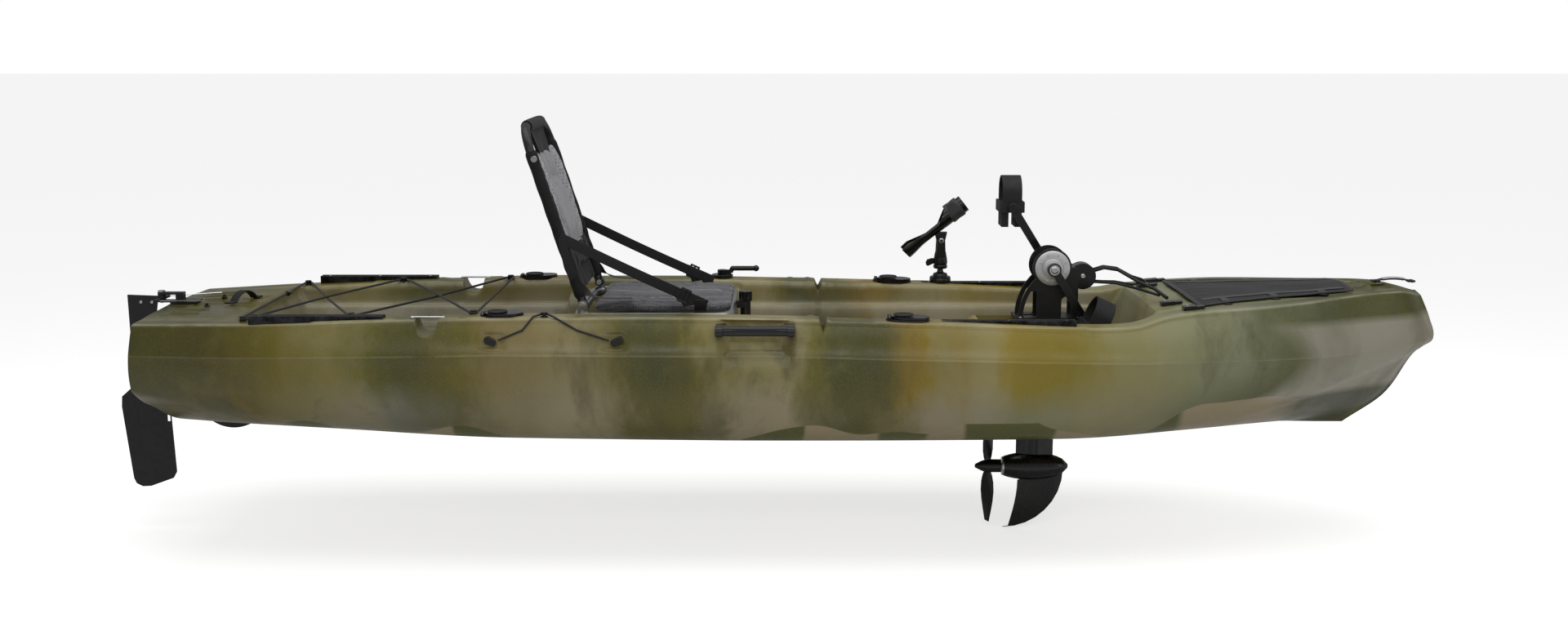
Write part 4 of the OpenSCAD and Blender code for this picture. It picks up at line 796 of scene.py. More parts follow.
def cutters():
    """The drive well, the propeller's pocket, the scuppers and the rod tubes' holes, as one mesh."""
    housing_low, housing_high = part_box("drive_stand")
    low, high = housing_low[0] / MM + 7 - 100, housing_high[0] / MM - 9
    shape = Shape()
    corner = np.radians(np.arange(0, 360, 15))
    radius, half_y = 14, 42
    outline = np.stack((np.cos(corner), np.sin(corner)), 1) * radius
    middle = np.array(((low + high) / 2, 0)), np.array(((high - low) / 2 - radius, half_y - radius))
    outline = middle[0] + outline + np.where(outline >= -1e-9, 1, -1) * middle[1]
    shape.prism(outline, -20, 300)
    prop_low, prop_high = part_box("propeller")
    centre = [(a + b) / 2 / MM for a, b in zip(prop_low, prop_high)]
    reach = (prop_high[2] - prop_low[2]) / 2 / MM + 8
    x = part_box("prop_shaft")[0][0] / MM + 10
    shape.lathe([(0, -40), (reach, -40), (reach, 40), (0, 40)], (x, 0, centre[2]), "x", 96)
    for place in (-0.72, -0.5, 0.1):
        for side in (-1, 1):
            shape.lathe([(0, -20), (14, -20), (14, 300), (0, 300)],
                        (place * HALF_LENGTH, side * 120, 0), "z", 28)
    return shape


def cut_from(piece, cutter_shape):
    """Takes the cutters away from the piece's mesh, and leaves no modifier behind."""
    mesh = bpy.data.meshes.new("cutters")
    mesh.from_pydata((np.concatenate(cutter_shape.points) * MM).tolist(), [], cutter_shape.faces)
    edit = bmesh.new()
    edit.from_mesh(mesh)
    bmesh.ops.remove_doubles(edit, verts=edit.verts, dist=1e-5)
    bmesh.ops.recalc_face_normals(edit, faces=edit.faces)
    edit.to_mesh(mesh)
    edit.free()
    tool = bpy.data.objects.new("cutters", mesh)
    bpy.context.scene.collection.objects.link(tool)
    cut = piece.modifiers.new("cut", "BOOLEAN")
    cut.operation, cut.object, cut.solver = "DIFFERENCE", tool, "MANIFOLD"
    apply_modifiers(piece)
    bpy.data.objects.remove(tool)


def apply_modifiers(piece):
    """Replaces the piece's mesh by what its modifiers make of it."""
    seen = piece.evaluated_get(bpy.context.evaluated_depsgraph_get())
    made = bpy.data.meshes.new_from_object(seen, preserve_all_data_layers=True,
                                           depsgraph=bpy.context.evaluated_depsgraph_get())
    piece.modifiers.clear()
    piece.data = made


def make_hull():
    """The moulded hull: one surface with its openings cut through."""
    p, edge = hull_surface()
    mesh = bpy.data.meshes.new("hull_shell")
    rows, cols = p.shape[:2]
    i, j = np.meshgrid(np.arange(rows - 1), np.arange(cols), indexing="ij")
    a, b = (i * cols + j).ravel(), (i * cols + (j + 1) % cols).ravel()
    quads = np.stack((a, b, b + cols, a + cols), 1)
    mesh.from_pydata((p.reshape(-1, 3) * MM).tolist(), [], quads.tolist())
    # the edge attribute marks the edges painted pale: partly wear, partly painted highlight
    mesh.attributes.new("edge", "FLOAT", "POINT").data.foreach_set("value", edge.ravel().astype("f"))
    hull = finish_mesh(mesh, "hull_shell", FINISH["hull"], "root", ("hull",), merge=2e-4)
    cut_from(hull, cutters())
    hull.data.shade_smooth()
    hull.data.set_sharp_from_angle(angle=math.radians(50))
    return hull


# ---- pieces on the deck ----
def arc(centre, radius, first, last, count, plane="xy"):
    """Points of an arc about a centre, in degrees, in the xy or the xz plane."""
    a = np.radians(np.linspace(first, last, count))
    c, s = radius * np.cos(a), radius * np.sin(a)
    zero = np.zeros(count)
    offset = (c, s, zero) if plane == "xy" else (c, zero, s)
    return np.array(centre, float) + np.stack(offset, 1)


def middle(node):
    """Centre and half sizes of a CAD node's box, in millimetres."""
    low, high = (np.array(v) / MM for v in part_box(node))
    return (low + high) / 2, (high - low) / 2


def bolt_head(shape, at, axis, radius, rise, socket=0.45):
    """A domed screw head with a round socket, standing rise proud along the axis (signed)."""
    r, h = radius, rise
    shape.lathe([(0, 0), (r, 0), (r, 0.35 * h), (0.86 * r, 0.8 * h), (0.6 * r, h), (socket * r, h),
                 (socket * r * 0.9, 0.4 * h), (0, 0.4 * h)], at, axis, 24)
    return shape


def make_hatch_cover():
    """The fabric cover stretched over the bow hatch, with its binding, its straps and its tabs."""
    low, high = (np.array(v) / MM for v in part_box("hatch_cover"))
    rows, cols = 70, 61
    u, v = np.meshgrid(np.linspace(0, 1, rows), np.linspace(-1, 1, cols), indexing="ij")
    wide, narrow = high[1], HATCH_TIP * HALF_BEAM
    half = wide + (narrow - wide) * u
    x = low[0] + (high[0] - low[0]) * u
    # the front and rear edges bow outward a little, and the sides draw in between their tabs
    half = half - 5 * np.sin(np.pi * u) ** 2 + 1.5 * np.cos(6 * np.pi * u)
    y = half * v
    x = x + 5 * (1 - v ** 2) * (2 * u - 1)
    z = deck_z(x, y) + 1.5
    inside = (1 - np.abs(2 * u - 1) ** 8) * (1 - np.abs(v) ** 8)
    sag = 1.8 * np.sin(np.pi * u) * (1 - v ** 2)
    pucker = 0.9 * np.sin(9 * np.pi * v + 2 * u) * np.exp(-((u - 0.02) / 0.10) ** 2)
    pucker = pucker + 0.8 * np.sin(11 * np.pi * u) * np.exp(-((1 - np.abs(v)) / 0.10) ** 2)
    folds = 1.1 * np.sin(3.2 * np.pi * (u + 0.35 * v)) * np.exp(-((u + 0.35 * v - 0.5) / 0.3) ** 2)
    top = z + 3.2 + (pucker + folds + 1.4 - sag * 0.6) * inside
    surface = np.stack((x, y, top), -1)
    under = np.stack((x, y, top - 1.4), -1)
    shape = Shape()
    shape.grid(surface).grid(under[::-1])
    rim = np.concatenate((surface[0], surface[1:, -1], surface[-1, -2::-1], surface[-2:0:-1, 0]))
    rim_under = np.concatenate((under[0], under[1:, -1], under[-1, -2::-1], under[-2:0:-1, 0]))
    shape.grid(np.stack((rim, rim_under)), wrap=True)
    cover = shape.build("hatch_cover_cloth", FINISH["cover"], "root", ("hatch_cover",), "cover_fabric")
    edge = np.concatenate((rim[::4], rim[:1]))
    hem = Shape()
    path = edge + (0, 0, -0.4)
    a = np.linspace(0, 2 * np.pi, 12, endpoint=False)
    tangent = unit(np.roll(path[:-1], -1, 0) - np.roll(path[:-1], 1, 0))
    side = np.cross(tangent, (0, 0, 1.0))
    ring = (np.cos(a)[None, :, None] * side[:, None] * 7
            + np.sin(a)[None, :, None] * np.array((0, 0, 2.1)))
    loop = path[:-1, None] + ring
    hem.grid(np.concatenate((loop, loop[:1])), wrap=True)
    binding = hem.build("hatch_cover_binding", FINISH["webbing"], "root", (), "black_webbing")
    straps = Shape()
    for s in (-1, 1):
        t = np.linspace(0.05, 0.97, 26)
        i = (t * (rows - 1)).astype(int)
        j = np.full(len(t), int((0.5 + s * 0.36) * (cols - 1)))
        straps.band(surface[i, j] + (0, 0, 1.1), 24, 1.5)
    for t in (0.18, 0.5, 0.82):
        i = int(t * (rows - 1))
        for s in (-1, 1):
            line = surface[i, :, :][::s][:8] + (0, 0, 1.2)
            straps.band(line[:7], 20, 1.4)
    bands = straps.build("hatch_cover_straps", FINISH["cover_webbing"], "root", (), "black_webbing")
    tabs = Shape()
    for t in (0.18, 0.5, 0.82):
        i = int(t * (rows - 1))
        for s, j in ((-1, 0), (1, cols - 1)):
            at = surface[i, j]
            outline = np.array(((-12, -3), (12, -3), (12, 11), (7, 17), (-7, 17), (-12, 11)), float)
            place = [(at[0] + p, at[1] + s * q) for p, q in outline]
            level = deck_z(at[0], at[1] + s * 8)
            tabs.prism(place if s > 0 else place[::-1], level + 0.6, level + 3.0)
            bolt_head(tabs, (at[0], at[1] + s * 10, level + 3.0), "z", 3.4, 1.4)
    tabs.build("hatch_cover_tabs", FINISH["dull"], "root", (), "black_plastic", bevel=0.5)


def make_deck_fittings():
    """Buckles, rivets, grips' end caps, handles' ends, rails' slots, pad eyes and rod tubes."""
    for name, finish, bevel in (("deck_buckles", "gloss", 1.2), ("rear_rails", "rail", 0.8),
                                ("gear_tracks", "rail", 0.8), ("rod_tubes", "gloss", 0.8),
                                ("cap_pins", "steel", 0.3), ("pad_eyes", "nylon", 0.6),
                                ("notch_bars", "steel", 0.6), ("bungee_clips", "gloss", 1.2),
                                ("keel_shoe", "dull", 1.5), ("side_grips", "gloss", 2.0),
                                ("stern_handle", "rubber", 1.6)):
        refined(name, FINISH[finish], bevel)
    make_bow_handle()
    trim = Shape()
    for s in (-1, 1):
        for bx, by in ((918, 148.06), (955.2, 226.06)):
            top = deck_z(bx, by) + 9.2
            bolt_head(trim, (bx - 16, s * by, top), "z", 3.2, 1.6)
            bolt_head(trim, (bx - 16, s * by + 7, top), "z", 2.0, 1.0)
    for s in (-1, 1):
        for node_name, z_up in (("rear_rails", 333.2), ("gear_tracks", 318.6)):
            centre, half = middle(node_name)
            for f in (-0.86, 0, 0.86):
                bolt_head(trim, (centre[0] + f * half[0], s * (half[1] - 11), z_up - 1.5), "z", 3.4, 1.4)
    # screws of the buckles, the rear rails and the gear tracks
    trim.build("deck_screws", FINISH["steel"], "root", (), "stainless")
    centre, half = middle("side_grips")
    shell = Shape()
    for s in (-1, 1):
        y = s * (half[1] - 4)
        for end in (-1, 1):
            x = centre[0] + end * (half[0] - 9)
            z = centre[2]
            shell.tube([(x + step, y, z) for step in (-9, -8.5, -3, 3, 8.5, 9)],
                       [10.5, 12.4, 13.2, 13.2, 12.4, 10.5], 28, up=(0, 0, 1), squeeze=0.95)
        lens = np.linspace(-1, 1, 25)
        upper = [(x * 62, 4.2 * (1 - x * x)) for x in lens]
        lower = [(x * 62, -4.2 * (1 - x * x)) for x in lens[::-1][1:-1]]
        outline = np.array(upper + lower)
        place = lambda p, s=s: np.stack((centre[0] + p[..., 0], s * p[..., 2], centre[2] + 3 + p[..., 1]), -1)
        outer = half[1] + 0.6
        shell.prism(outline, outer - 6, outer, place)
    shell.build("grip_ends", FINISH["gloss"], "root", (), "black_plastic", bevel=0.8)


def make_bow_handle():
    """The webbing handle over the bow's nose, with a pale rubber sleeve in its middle."""
    low, high = (np.array(v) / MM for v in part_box("bow_handle"))
    x = np.linspace(low[0] + 6, high[0] - 4, 30)
    rise = np.sin(np.pi * (x - x[0]) / (x[-1] - x[0])) ** 0.6
    level = deck_z(x, np.zeros(30)) + 1.6
    z = np.maximum(level, low[2] + 1) * (1 - rise) + (high[2] - 3) * rise
    path = np.stack((x, 0 * x, z), 1)
    Shape().band(path, 22, 3).build("bow_handle_strap", FINISH["webbing"], "root", ("bow_handle",),
                                     "black_webbing")
    grip = Shape().tube(path[6:-6], [8.2] + [9.6] * 16 + [8.2], 24, squeeze=0.42)
    grip.build("bow_handle_grip", FINISH["pale_rubber"], "root", (), "black_rubber")
    anchors = Shape()
    for k in (1, -2):
        at = path[k] + (0, 0, 1.5)
        outline = [(at[0] - 9, -12), (at[0] + 9, -12), (at[0] + 9, 12), (at[0] - 9, 12)]
        anchors.prism(outline, at[2] - 3.5, at[2] + 1.4)
        bolt_head(anchors, at + (0, 0, 1.2), "z", 4, 1.8)
    anchors.build("bow_handle_anchors", FINISH["gloss"], "root", (), "black_plastic", bevel=0.8)


def make_rod_caps():
    """Flip caps over the four rod tubes: a domed lid with a lip, each on its own hinge."""
    for corner in ("rear_left", "rear_right", "front_left", "front_right"):
        name = "rod_cap_" + corner
        refined(name, FINISH["gloss"], 1.2)
        centre, half = middle(name)
        top = centre[2] + half[2]
        lid = Shape()
        r = half[1]
        lid.lathe([(0, -1), (r * 0.80, -1), (r * 0.84, 0.6), (r * 0.78, 2.2), (r * 0.70, 1.6),
                   (r * 0.66, 0.9), (0, 0.9)], (centre[0] - 12, centre[1], top), "z", 40)
        lid.build(name + "_lid", FINISH["rubber"], "cap_" + corner, (), "black_rubber")


def shock_cord(points):
    """The points joined by a cord whose corners are eased."""
    p = np.array(points, float)
    steps = np.linalg.norm(np.diff(p, axis=0), axis=1)
    s = np.concatenate(([0], np.cumsum(steps)))
    count = max(8, int(s[-1] / 7))
    at = np.linspace(0, s[-1], count)
    line = np.stack([np.interp(at, s, p[:, k]) for k in range(3)], 1)
    line[1:-1] = (line[:-2] + 2 * line[1:-1] + line[2:]) / 4
    return line


def make_bungees():
    """The crossed shock cord over the tank well, and the loose one along the starboard side."""
    eyes = [-0.831 * HALF_LENGTH, -0.669 * HALF_LENGTH, -0.487 * HALF_LENGTH]
    eye_y = 0.7337 * HALF_BEAM
    height = [float(rim_at(np.array(x / HALF_LENGTH))) + 6.6 for x in eyes]
    r = 7.3

    def turn(k, s, way, first=-60, last=60):
        a = np.radians(np.arange(first, last + 1, 15))
        return np.stack((eyes[k] + r * way * np.sin(a), s * (eye_y + r * np.cos(a)), 0 * a + height[k]), 1)

    def between(k, m, rise, shift=0.0):
        return np.array([[(eyes[k] + eyes[m]) / 2 + shift, 0, (height[k] + height[m]) / 2 + rise]])

    knot = np.array([eyes[0] - 3, 110, height[0]])
    route = np.concatenate([
        [knot + (-3, -12, 0)], [[eyes[0] - r, -eye_y + 60, height[0]]], turn(0, -1, 1, first=-90),
        between(0, 1, 4), turn(1, 1, 1), between(1, 2, 4), turn(2, -1, 1, last=90), between(2, 2, 0, r),
        turn(2, 1, -1, first=-90), between(2, 1, -4), turn(1, -1, -1), between(1, 0, -4),
        turn(0, 1, -1, last=90), [knot + (-3, 12, 0)]])
    cord = Shape().tube(shock_cord(route), 3.0, 12)
    cord.build("tank_shock_cord", FINISH["cord"], "root", ("tank_bungee",), "bungee_cord")
    ball = Shape().lathe([(0, -13), (5, -13), (7, -11), (7, 11), (5, 13), (0, 13)], knot, "y", 24)
    ball.build("tank_cord_lock", FINISH["gloss"], "root", (), "black_plastic")
    refined("side_bungee", FINISH["cord"], 0.0)


# ---- the seat ----
HINGE = np.array((-528.0, 0.0, 337.0))
LEAN = math.radians(18)
BACK_TURN = np.array(((math.cos(LEAN), 0, -math.sin(LEAN)), (0, 1, 0), (math.sin(LEAN), 0, math.cos(LEAN))))
BACK_HALF, BACK_LONG, TUBE = 190.0, 450.0, 11.0
STRAP_FOOT = np.array((-226.0, 0.0, 337.0))


def on_back(points):
    """Points given along, across and up the backrest, placed on the leaning back."""
    return np.asarray(points, float) @ BACK_TURN.T + HINGE


def puffed(node, frame_of, size_of, name, body, limit, seams, colours):
    """Stuffs a copy of a CAD pad. The copy's corners are drawn in, it is remeshed and inflated by the cloth
    solver with its seams held, how far each point moves is limited, and then the seams are pressed in."""
    seams_at, seam_depth = seams
    mesh = frame["nodes"][node].data.copy()
    mesh.materials.clear()
    piece = bpy.data.objects.new(name, mesh)
    bpy.context.scene.collection.objects.link(piece)
    remesh = piece.modifiers.new("voxels", "REMESH")
    remesh.mode, remesh.voxel_size = "VOXEL", 0.0052
    apply_modifiers(piece)
    mesh = piece.data

    def read():
        flat = np.empty(len(piece.data.vertices) * 3, "f")
        piece.data.vertices.foreach_get("co", flat)
        return flat.reshape(-1, 3).astype(float) / MM

    def write(points):
        piece.data.vertices.foreach_set("co", (points * MM).ravel().astype("f"))
        piece.data.update()

    to_local, to_world = frame_of
    start = to_local(read())
    low, high = start.min(0), start.max(0)
    mid, half = (low + high) / 2, (high - low) / 2
    write(to_world(size_of(start, mid, half)))
    before = read()
    held = seams_at(to_local(before), mid, half)
    group = piece.vertex_groups.new(name="seams")
    for weight, members in ((1.0, np.nonzero(held > 0.6)[0]),):
        group.add(members.tolist(), weight, "REPLACE")
    cloth = piece.modifiers.new("cloth", "CLOTH")
    cloth.settings.quality = 5
    cloth.settings.mass = 0.3
    cloth.settings.tension_stiffness = cloth.settings.compression_stiffness = 12
    cloth.settings.bending_stiffness = 0.6
    cloth.settings.use_pressure = True
    cloth.settings.uniform_pressure_force = 4
    cloth.settings.vertex_group_mass = "seams"
    cloth.settings.shrink_min = -0.02
    cloth.settings.effector_weights.gravity = 0
    cloth.point_cache.frame_start, cloth.point_cache.frame_end = 1, 20
    for step in range(1, 21):
        bpy.context.scene.frame_set(step)
    apply_modifiers(piece)
    bpy.context.scene.frame_set(1)
    moved = read() - before
    length = np.linalg.norm(moved, axis=1, keepdims=True)
    write(before + moved * np.minimum(1, limit / np.maximum(length, 1e-6)))
    points = to_local(read())
    write(to_world(seam_depth(points, mid, half)))
    piece.data.materials.clear()
    for shade in colours[0]:
        piece.data.materials.append(FINISH[shade])
    count = len(piece.data.polygons)
    centres = np.empty(count * 3, "f")
    piece.data.polygons.foreach_get("center", centres)
    choice = colours[1](to_local(centres.reshape(-1, 3) / MM), mid, half).astype("i")
    piece.data.polygons.foreach_set("material_index", choice)
    piece.data.shade_smooth()
    finer = piece.modifiers.new("finer", "SUBSURF")
    finer.levels = finer.render_levels = 1
    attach(piece, body)
    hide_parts(node)
    return piece


def line_mask(value, at, width):
    """1 on a line where value is at, falling smoothly to 0 over width."""
    return np.exp(-((value - at) / width) ** 2)


def seat_seams(p, mid, half):
    """How far along a seam each point of the seat lies: three curved seams fore and aft, and side bands."""
    y, x = p[:, 1] - mid[1], (p[:, 0] - mid[0]) / half[0]
    bow = 16 * (1 - x ** 2)
    lines = line_mask(y, 0, 3.4)
    for s in (-1, 1):
        lines = np.maximum(lines, line_mask(s * y, 72 + bow, 3.4))
        lines = np.maximum(lines, line_mask(s * y, 136 + 0.4 * bow, 3.4))
    return lines * (p[:, 2] > mid[2])


def make_seat():
    """The seat: its tube frame, its stuffed pad and its clamp."""
    refined("seat_base_frame", FINISH["tube"], 0.6)
    refined("seat_hinge_pins", FINISH["steel"], 0.4)
    refined("seat_clamp_post", FINISH["nylon"], 1.0)
    refined("seat_clamp_knob", FINISH["gloss"], 1.2)
    refined("strap_buckles", FINISH["gloss"], 1.0)

    def rounded(p, mid, half):
        u, v = (p[:, 0] - mid[0]) / half[0], (p[:, 1] - mid[1]) / half[1]
        plan = np.minimum(1, (1 - np.abs(u) ** 14) ** 0.5) * np.minimum(1, (1 - np.abs(v) ** 14) ** 0.5)
        # the front corners are cut back
        cut = np.clip((u - 0.72) / 0.28, 0, 1) ** 2 * 34
        q = p.copy()
        q[:, 1] = mid[1] + (p[:, 1] - mid[1]) * (half[1] - cut) / half[1] * 0.985
        q[:, 2] = mid[2] - half[2] * 0.2 + (p[:, 2] - mid[2]) * (0.30 + 0.62 * plan)
        q[:, 0] = mid[0] + (p[:, 0] - mid[0]) * 0.985
        dish = 7 * np.exp(-((v / 0.55) ** 2)) * np.exp(-((u + 0.2) / 0.6) ** 2)
        q[:, 2] -= dish * (p[:, 2] > mid[2])
        return q

    def pressed_in(p, mid, half):
        q = p.copy()
        q[:, 2] -= 2.6 * seat_seams(p, mid, half)
        return q

    def panels(p, mid, half):
        y, x = np.abs(p[:, 1] - mid[1]), (p[:, 0] - mid[0]) / half[0]
        side = y > 136 + 0.4 * 16 * (1 - x ** 2)
        front = p[:, 0] > mid[0] + half[0] * 0.93
        stitch = (seat_seams(p, mid, half) > 0.82) & (y < 120)
        return np.where(stitch, 2, np.where(side | front | (p[:, 2] < mid[2] - half[2] * 0.5), 1, 0))

    same = (lambda p: p, lambda p: p)
    puffed("seat_pad", same, rounded, "seat_cushion", "root", 7,
           (seat_seams, pressed_in), (("seat", "seat_side", "thread"), panels))


def back_seams(p, mid, half):
    """How far along a seam each point of the backrest lies: two curved lines and the side panels' edges."""
    y, z = np.abs(p[:, 1]), (p[:, 2] - mid[2]) / half[2]
    side = line_mask(y, 118 - 26 * z ** 2, 3.4)
    low = line_mask(p[:, 2], mid[2] - half[2] * 0.62 + 16 * (y / half[1]) ** 2, 3.4)
    arch = line_mask(p[:, 2], mid[2] + half[2] * (0.55 - 0.5 * (y / half[1]) ** 2), 3.4)
    return np.maximum(np.maximum(side, low), arch * (y < 118))


def make_backrest():
    """The backrest: frame, stuffed panel, side sleeves, head wrap and side straps."""
    refined("seat_back_frame", FINISH["coat"], 0.4)

    def rounded(p, mid, half):
        v, w = (p[:, 1] - mid[1]) / half[1], (p[:, 2] - mid[2]) / half[2]
        plan = (1 - np.abs(v) ** 12) ** 0.5 * (1 - np.abs(w) ** 12) ** 0.5
        q = p.copy()
        hollow = -12 * (1 - v ** 2) + 6 * np.exp(-((w + 0.45) / 0.3) ** 2) * (1 - v ** 2)
        q[:, 0] = mid[0] + (p[:, 0] - mid[0]) * (0.25 + 0.55 * plan) + hollow * 0.6
        q[:, 1] = mid[1] + (p[:, 1] - mid[1]) * 0.99
        return q

    def pressed_in(p, mid, half):
        q = p.copy()
        q[:, 0] -= 2.4 * back_seams(p, mid, half) * np.sign(p[:, 0] - mid[0])
        return q

    def panels(p, mid, half):
        y = np.abs(p[:, 1])
        z = (p[:, 2] - mid[2]) / half[2]
        side = y > 118 - 26 * z ** 2
        low = z < -0.62 + 16 / half[2] * (y / half[1]) ** 2
        stitch = (back_seams(p, mid, half) > 0.8) & (p[:, 0] > mid[0])
        rear = p[:, 0] < mid[0]
        border = y > half[1] - 16
        pick = np.where(low | border, 3, np.where(side, 1, 0))
        pick = np.where(stitch & ~border, 2, pick)
        return np.where(rear, 3, pick)

    frame_of = (lambda p: (p - HINGE) @ BACK_TURN, on_back)
    puffed("back_pad", frame_of, rounded, "backrest_cushion", "seat_back", 9,
           (back_seams, pressed_in), (("back", "back_side", "thread", "sleeve"), panels))
    make_lower_flap()
    sleeves = Shape()
    for s in (-1, 1):
        z = np.linspace(18, 392, 50)
        wrinkle = 0.7 * np.sin(z / 7.0) * np.exp(-((z - 110) / 60) ** 2) + 0.5 * np.sin(z / 11.0 + s)
        radius = TUBE + 3.4 + wrinkle
        radius[0] = radius[-1] = TUBE + 1.0
        path = on_back(np.stack((0 * z, s * (BACK_HALF - 1.5) + 0 * z, z), 1))
        sleeves.tube(path, radius, 24, up=(0, 1, 0))
    sleeves.build("backrest_sleeves", FINISH["sleeve"], "seat_back", (), "black_webbing")
    eyelets = Shape()
    for s in (-1, 1):
        centre = on_back(np.array((4.0, s * (BACK_HALF + 12.6), 372.0)))
        eyelets.lathe([(3.2, -1.0), (7.5, -1.0), (8.2, 0.3), (7.0, 1.6), (4.4, 1.6), (3.2, 0.4)],
                      centre, "y", 24)
    eyelets.build("backrest_eyelets", FINISH["steel"], "seat_back", (), "stainless")
    make_head_wrap()
    make_side_straps()


def rim_of(points):
    """The outer points of a grid, in order round it."""
    return np.concatenate((points[0], points[1:, -1], points[-1, -2::-1], points[-2:0:-1, 0]))


def make_lower_flap():
    """The cloth that closes the gap between the backrest's panel and the seat, slack between the tubes."""
    rows, cols = 22, 40
    u, v = np.meshgrid(np.linspace(0, 1, rows), np.linspace(-1, 1, cols), indexing="ij")
    z = 22 + 66 * u
    y = (BACK_HALF - 6) * v
    fold = 1.5 * np.sin(7 * v + 4 * u) + 1.0 * np.sin(17 * v) * (1 - u)
    x = -3 - 5 * (1 - v ** 2) + fold * (1 - v ** 8)
    layers = [np.stack((x + k, y, z), -1) for k in (0.8, -0.8)]
    flap = Shape().grid(on_back(layers[0])).grid(on_back(layers[1])[::-1])
    flap.grid(on_back(np.stack((rim_of(layers[0]), rim_of(layers[1])))), wrap=True)
    piece = flap.build("backrest_flap", FINISH["sleeve"], "seat_back", (), "black_webbing")


def make_head_wrap():
    """The padded cloth wrapped round the top of the backrest's frame, tapering down to the panel."""
    y = np.linspace(-119, 119, 60)
    lift = 1 - (np.abs(y) / 119) ** 6
    a = np.linspace(0, 2 * np.pi, 36, endpoint=False)
    radius = TUBE + 3.4 + 1.2 * lift + 0.5 * np.sin(y / 6.0)
    ring = np.stack((radius[:, None] * np.cos(a), y[:, None] + 0 * a, radius[:, None] * np.sin(a) * 1.0), -1)
    ring[..., 2] += BACK_LONG
    wrap = Shape().grid(on_back(ring), wrap=True, caps=True)
    # the cloth hangs down between the tubes to the panel's top
    rows, cols = 26, 34
    u, v = np.meshgrid(np.linspace(0, 1, rows), np.linspace(-1, 1, cols), indexing="ij")
    half = 112 - 34 * u ** 0.8
    z = BACK_LONG - 8 - u * 74
    fold = 1.6 * np.sin(6 * v + 3 * u) * u
    depth = 4.2
    front, back = (np.stack((side * depth - 3 * (1 - v ** 2) + fold, half * v, z + 10 * (1 - v ** 2) * u), -1)
                   for side in (1, -1))
    wrap.grid(on_back(front)).grid(on_back(back)[::-1])
    wrap.grid(on_back(np.stack((rim_of(front), rim_of(back)))), wrap=True)
    wrap.build("head_wrap", FINISH["sleeve"], "seat_back", ("head_strap",), "black_webbing")


def make_side_straps():
    """Webbing from the backrest to the seat, doubled back through a ladder buckle, with a loose tail."""
    for side, s in (("left", 1), ("right", -1)):
        y = s * (BACK_HALF + TUBE + 2.2)
        top = on_back(np.array((0.0, 0.0, 175.0)))
        foot = STRAP_FOOT
        t = np.linspace(0, 1, 60)[:, None]
        line = top * (1 - t) + foot * t
        line[:, 1] = y
        line[:, 2] -= 3 * np.sin(np.pi * t[:, 0])
        strap = Shape().band(line, 25, 1.6, up=(0, s, 0))
        # t runs from the backrest to the seat, so the adjuster sits low
        doubled = line[47:-1] + (0, s * 2.4, 0)
        strap.band(doubled, 25, 1.6, up=(0, s, 0))
        tail_t = np.linspace(0, 1, 18)[:, None]
        hang = line[47] + tail_t * np.array((26.0, 0, -34.0)) + (0, s * 3.8, 0)
        hang[:, 0] += 7 * np.sin(tail_t[:, 0] * 3.0)
        strap.band(hang, 25, 1.5, up=(0, s, 0))
        # the adjuster's spare length hangs down the backrest and lies along the cushion
        spare = curve_through([top + (6, 0, -4), top + (20, 0, -62), top + (44, 0, -118), (-500, 0, 356),
                               (-462, 0, 349.5), (-410, 0, 348.5)], 40)
        spare[:, 1] = s * np.interp(np.arange(40), (0, 12, 24, 39), (205.5, 203, 182, 166))
        lying = ease((np.arange(40) - 14) / 12)[:, None]
        strap.band(spare, 20, 1.5, up=(1 - lying) * (0, s, 0.0) + lying * (0, 0, 1.0))
        piece = strap.build("side_strap_" + side + "_webbing", FINISH["webbing"], None,
                            ("side_strap_" + side,), "black_webbing")
        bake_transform(piece)
        buckle = Shape()
        along = unit((line[50] - line[47]))
        face = np.array((0, s, 0.0))
        across = np.cross(along, face)
        for k in (-11, 0, 11):
            c = line[50] + along * k
            bar = np.array([c - across * 17, c - across * 16.5, c + across * 16.5, c + across * 17])
            buckle.tube(bar + face * 3.2, [1.4, 2.4, 2.4, 1.4], 12, up=tuple(face))
        for k in (-16, 16):
            c = line[50] + across * k
            bar = np.array([c - along * 13, c - along * 12.5, c + along * 12.5, c + along * 13])
            buckle.tube(bar + face * 3.2, [1.4, 2.6, 2.6, 1.4], 12, up=tuple(face))
        slider = buckle.build("ladder_buckle_" + side, FINISH["gloss"], None, (), "black_plastic")
        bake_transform(slider)


# ---- the pedal drive ----
AXLE = np.array((639.0, 0.0, 405.0))
CRANK_ANGLE, CRANK_LENGTH = 122, 165.0
STAY = np.array((720.0, 0.0, 381.0))


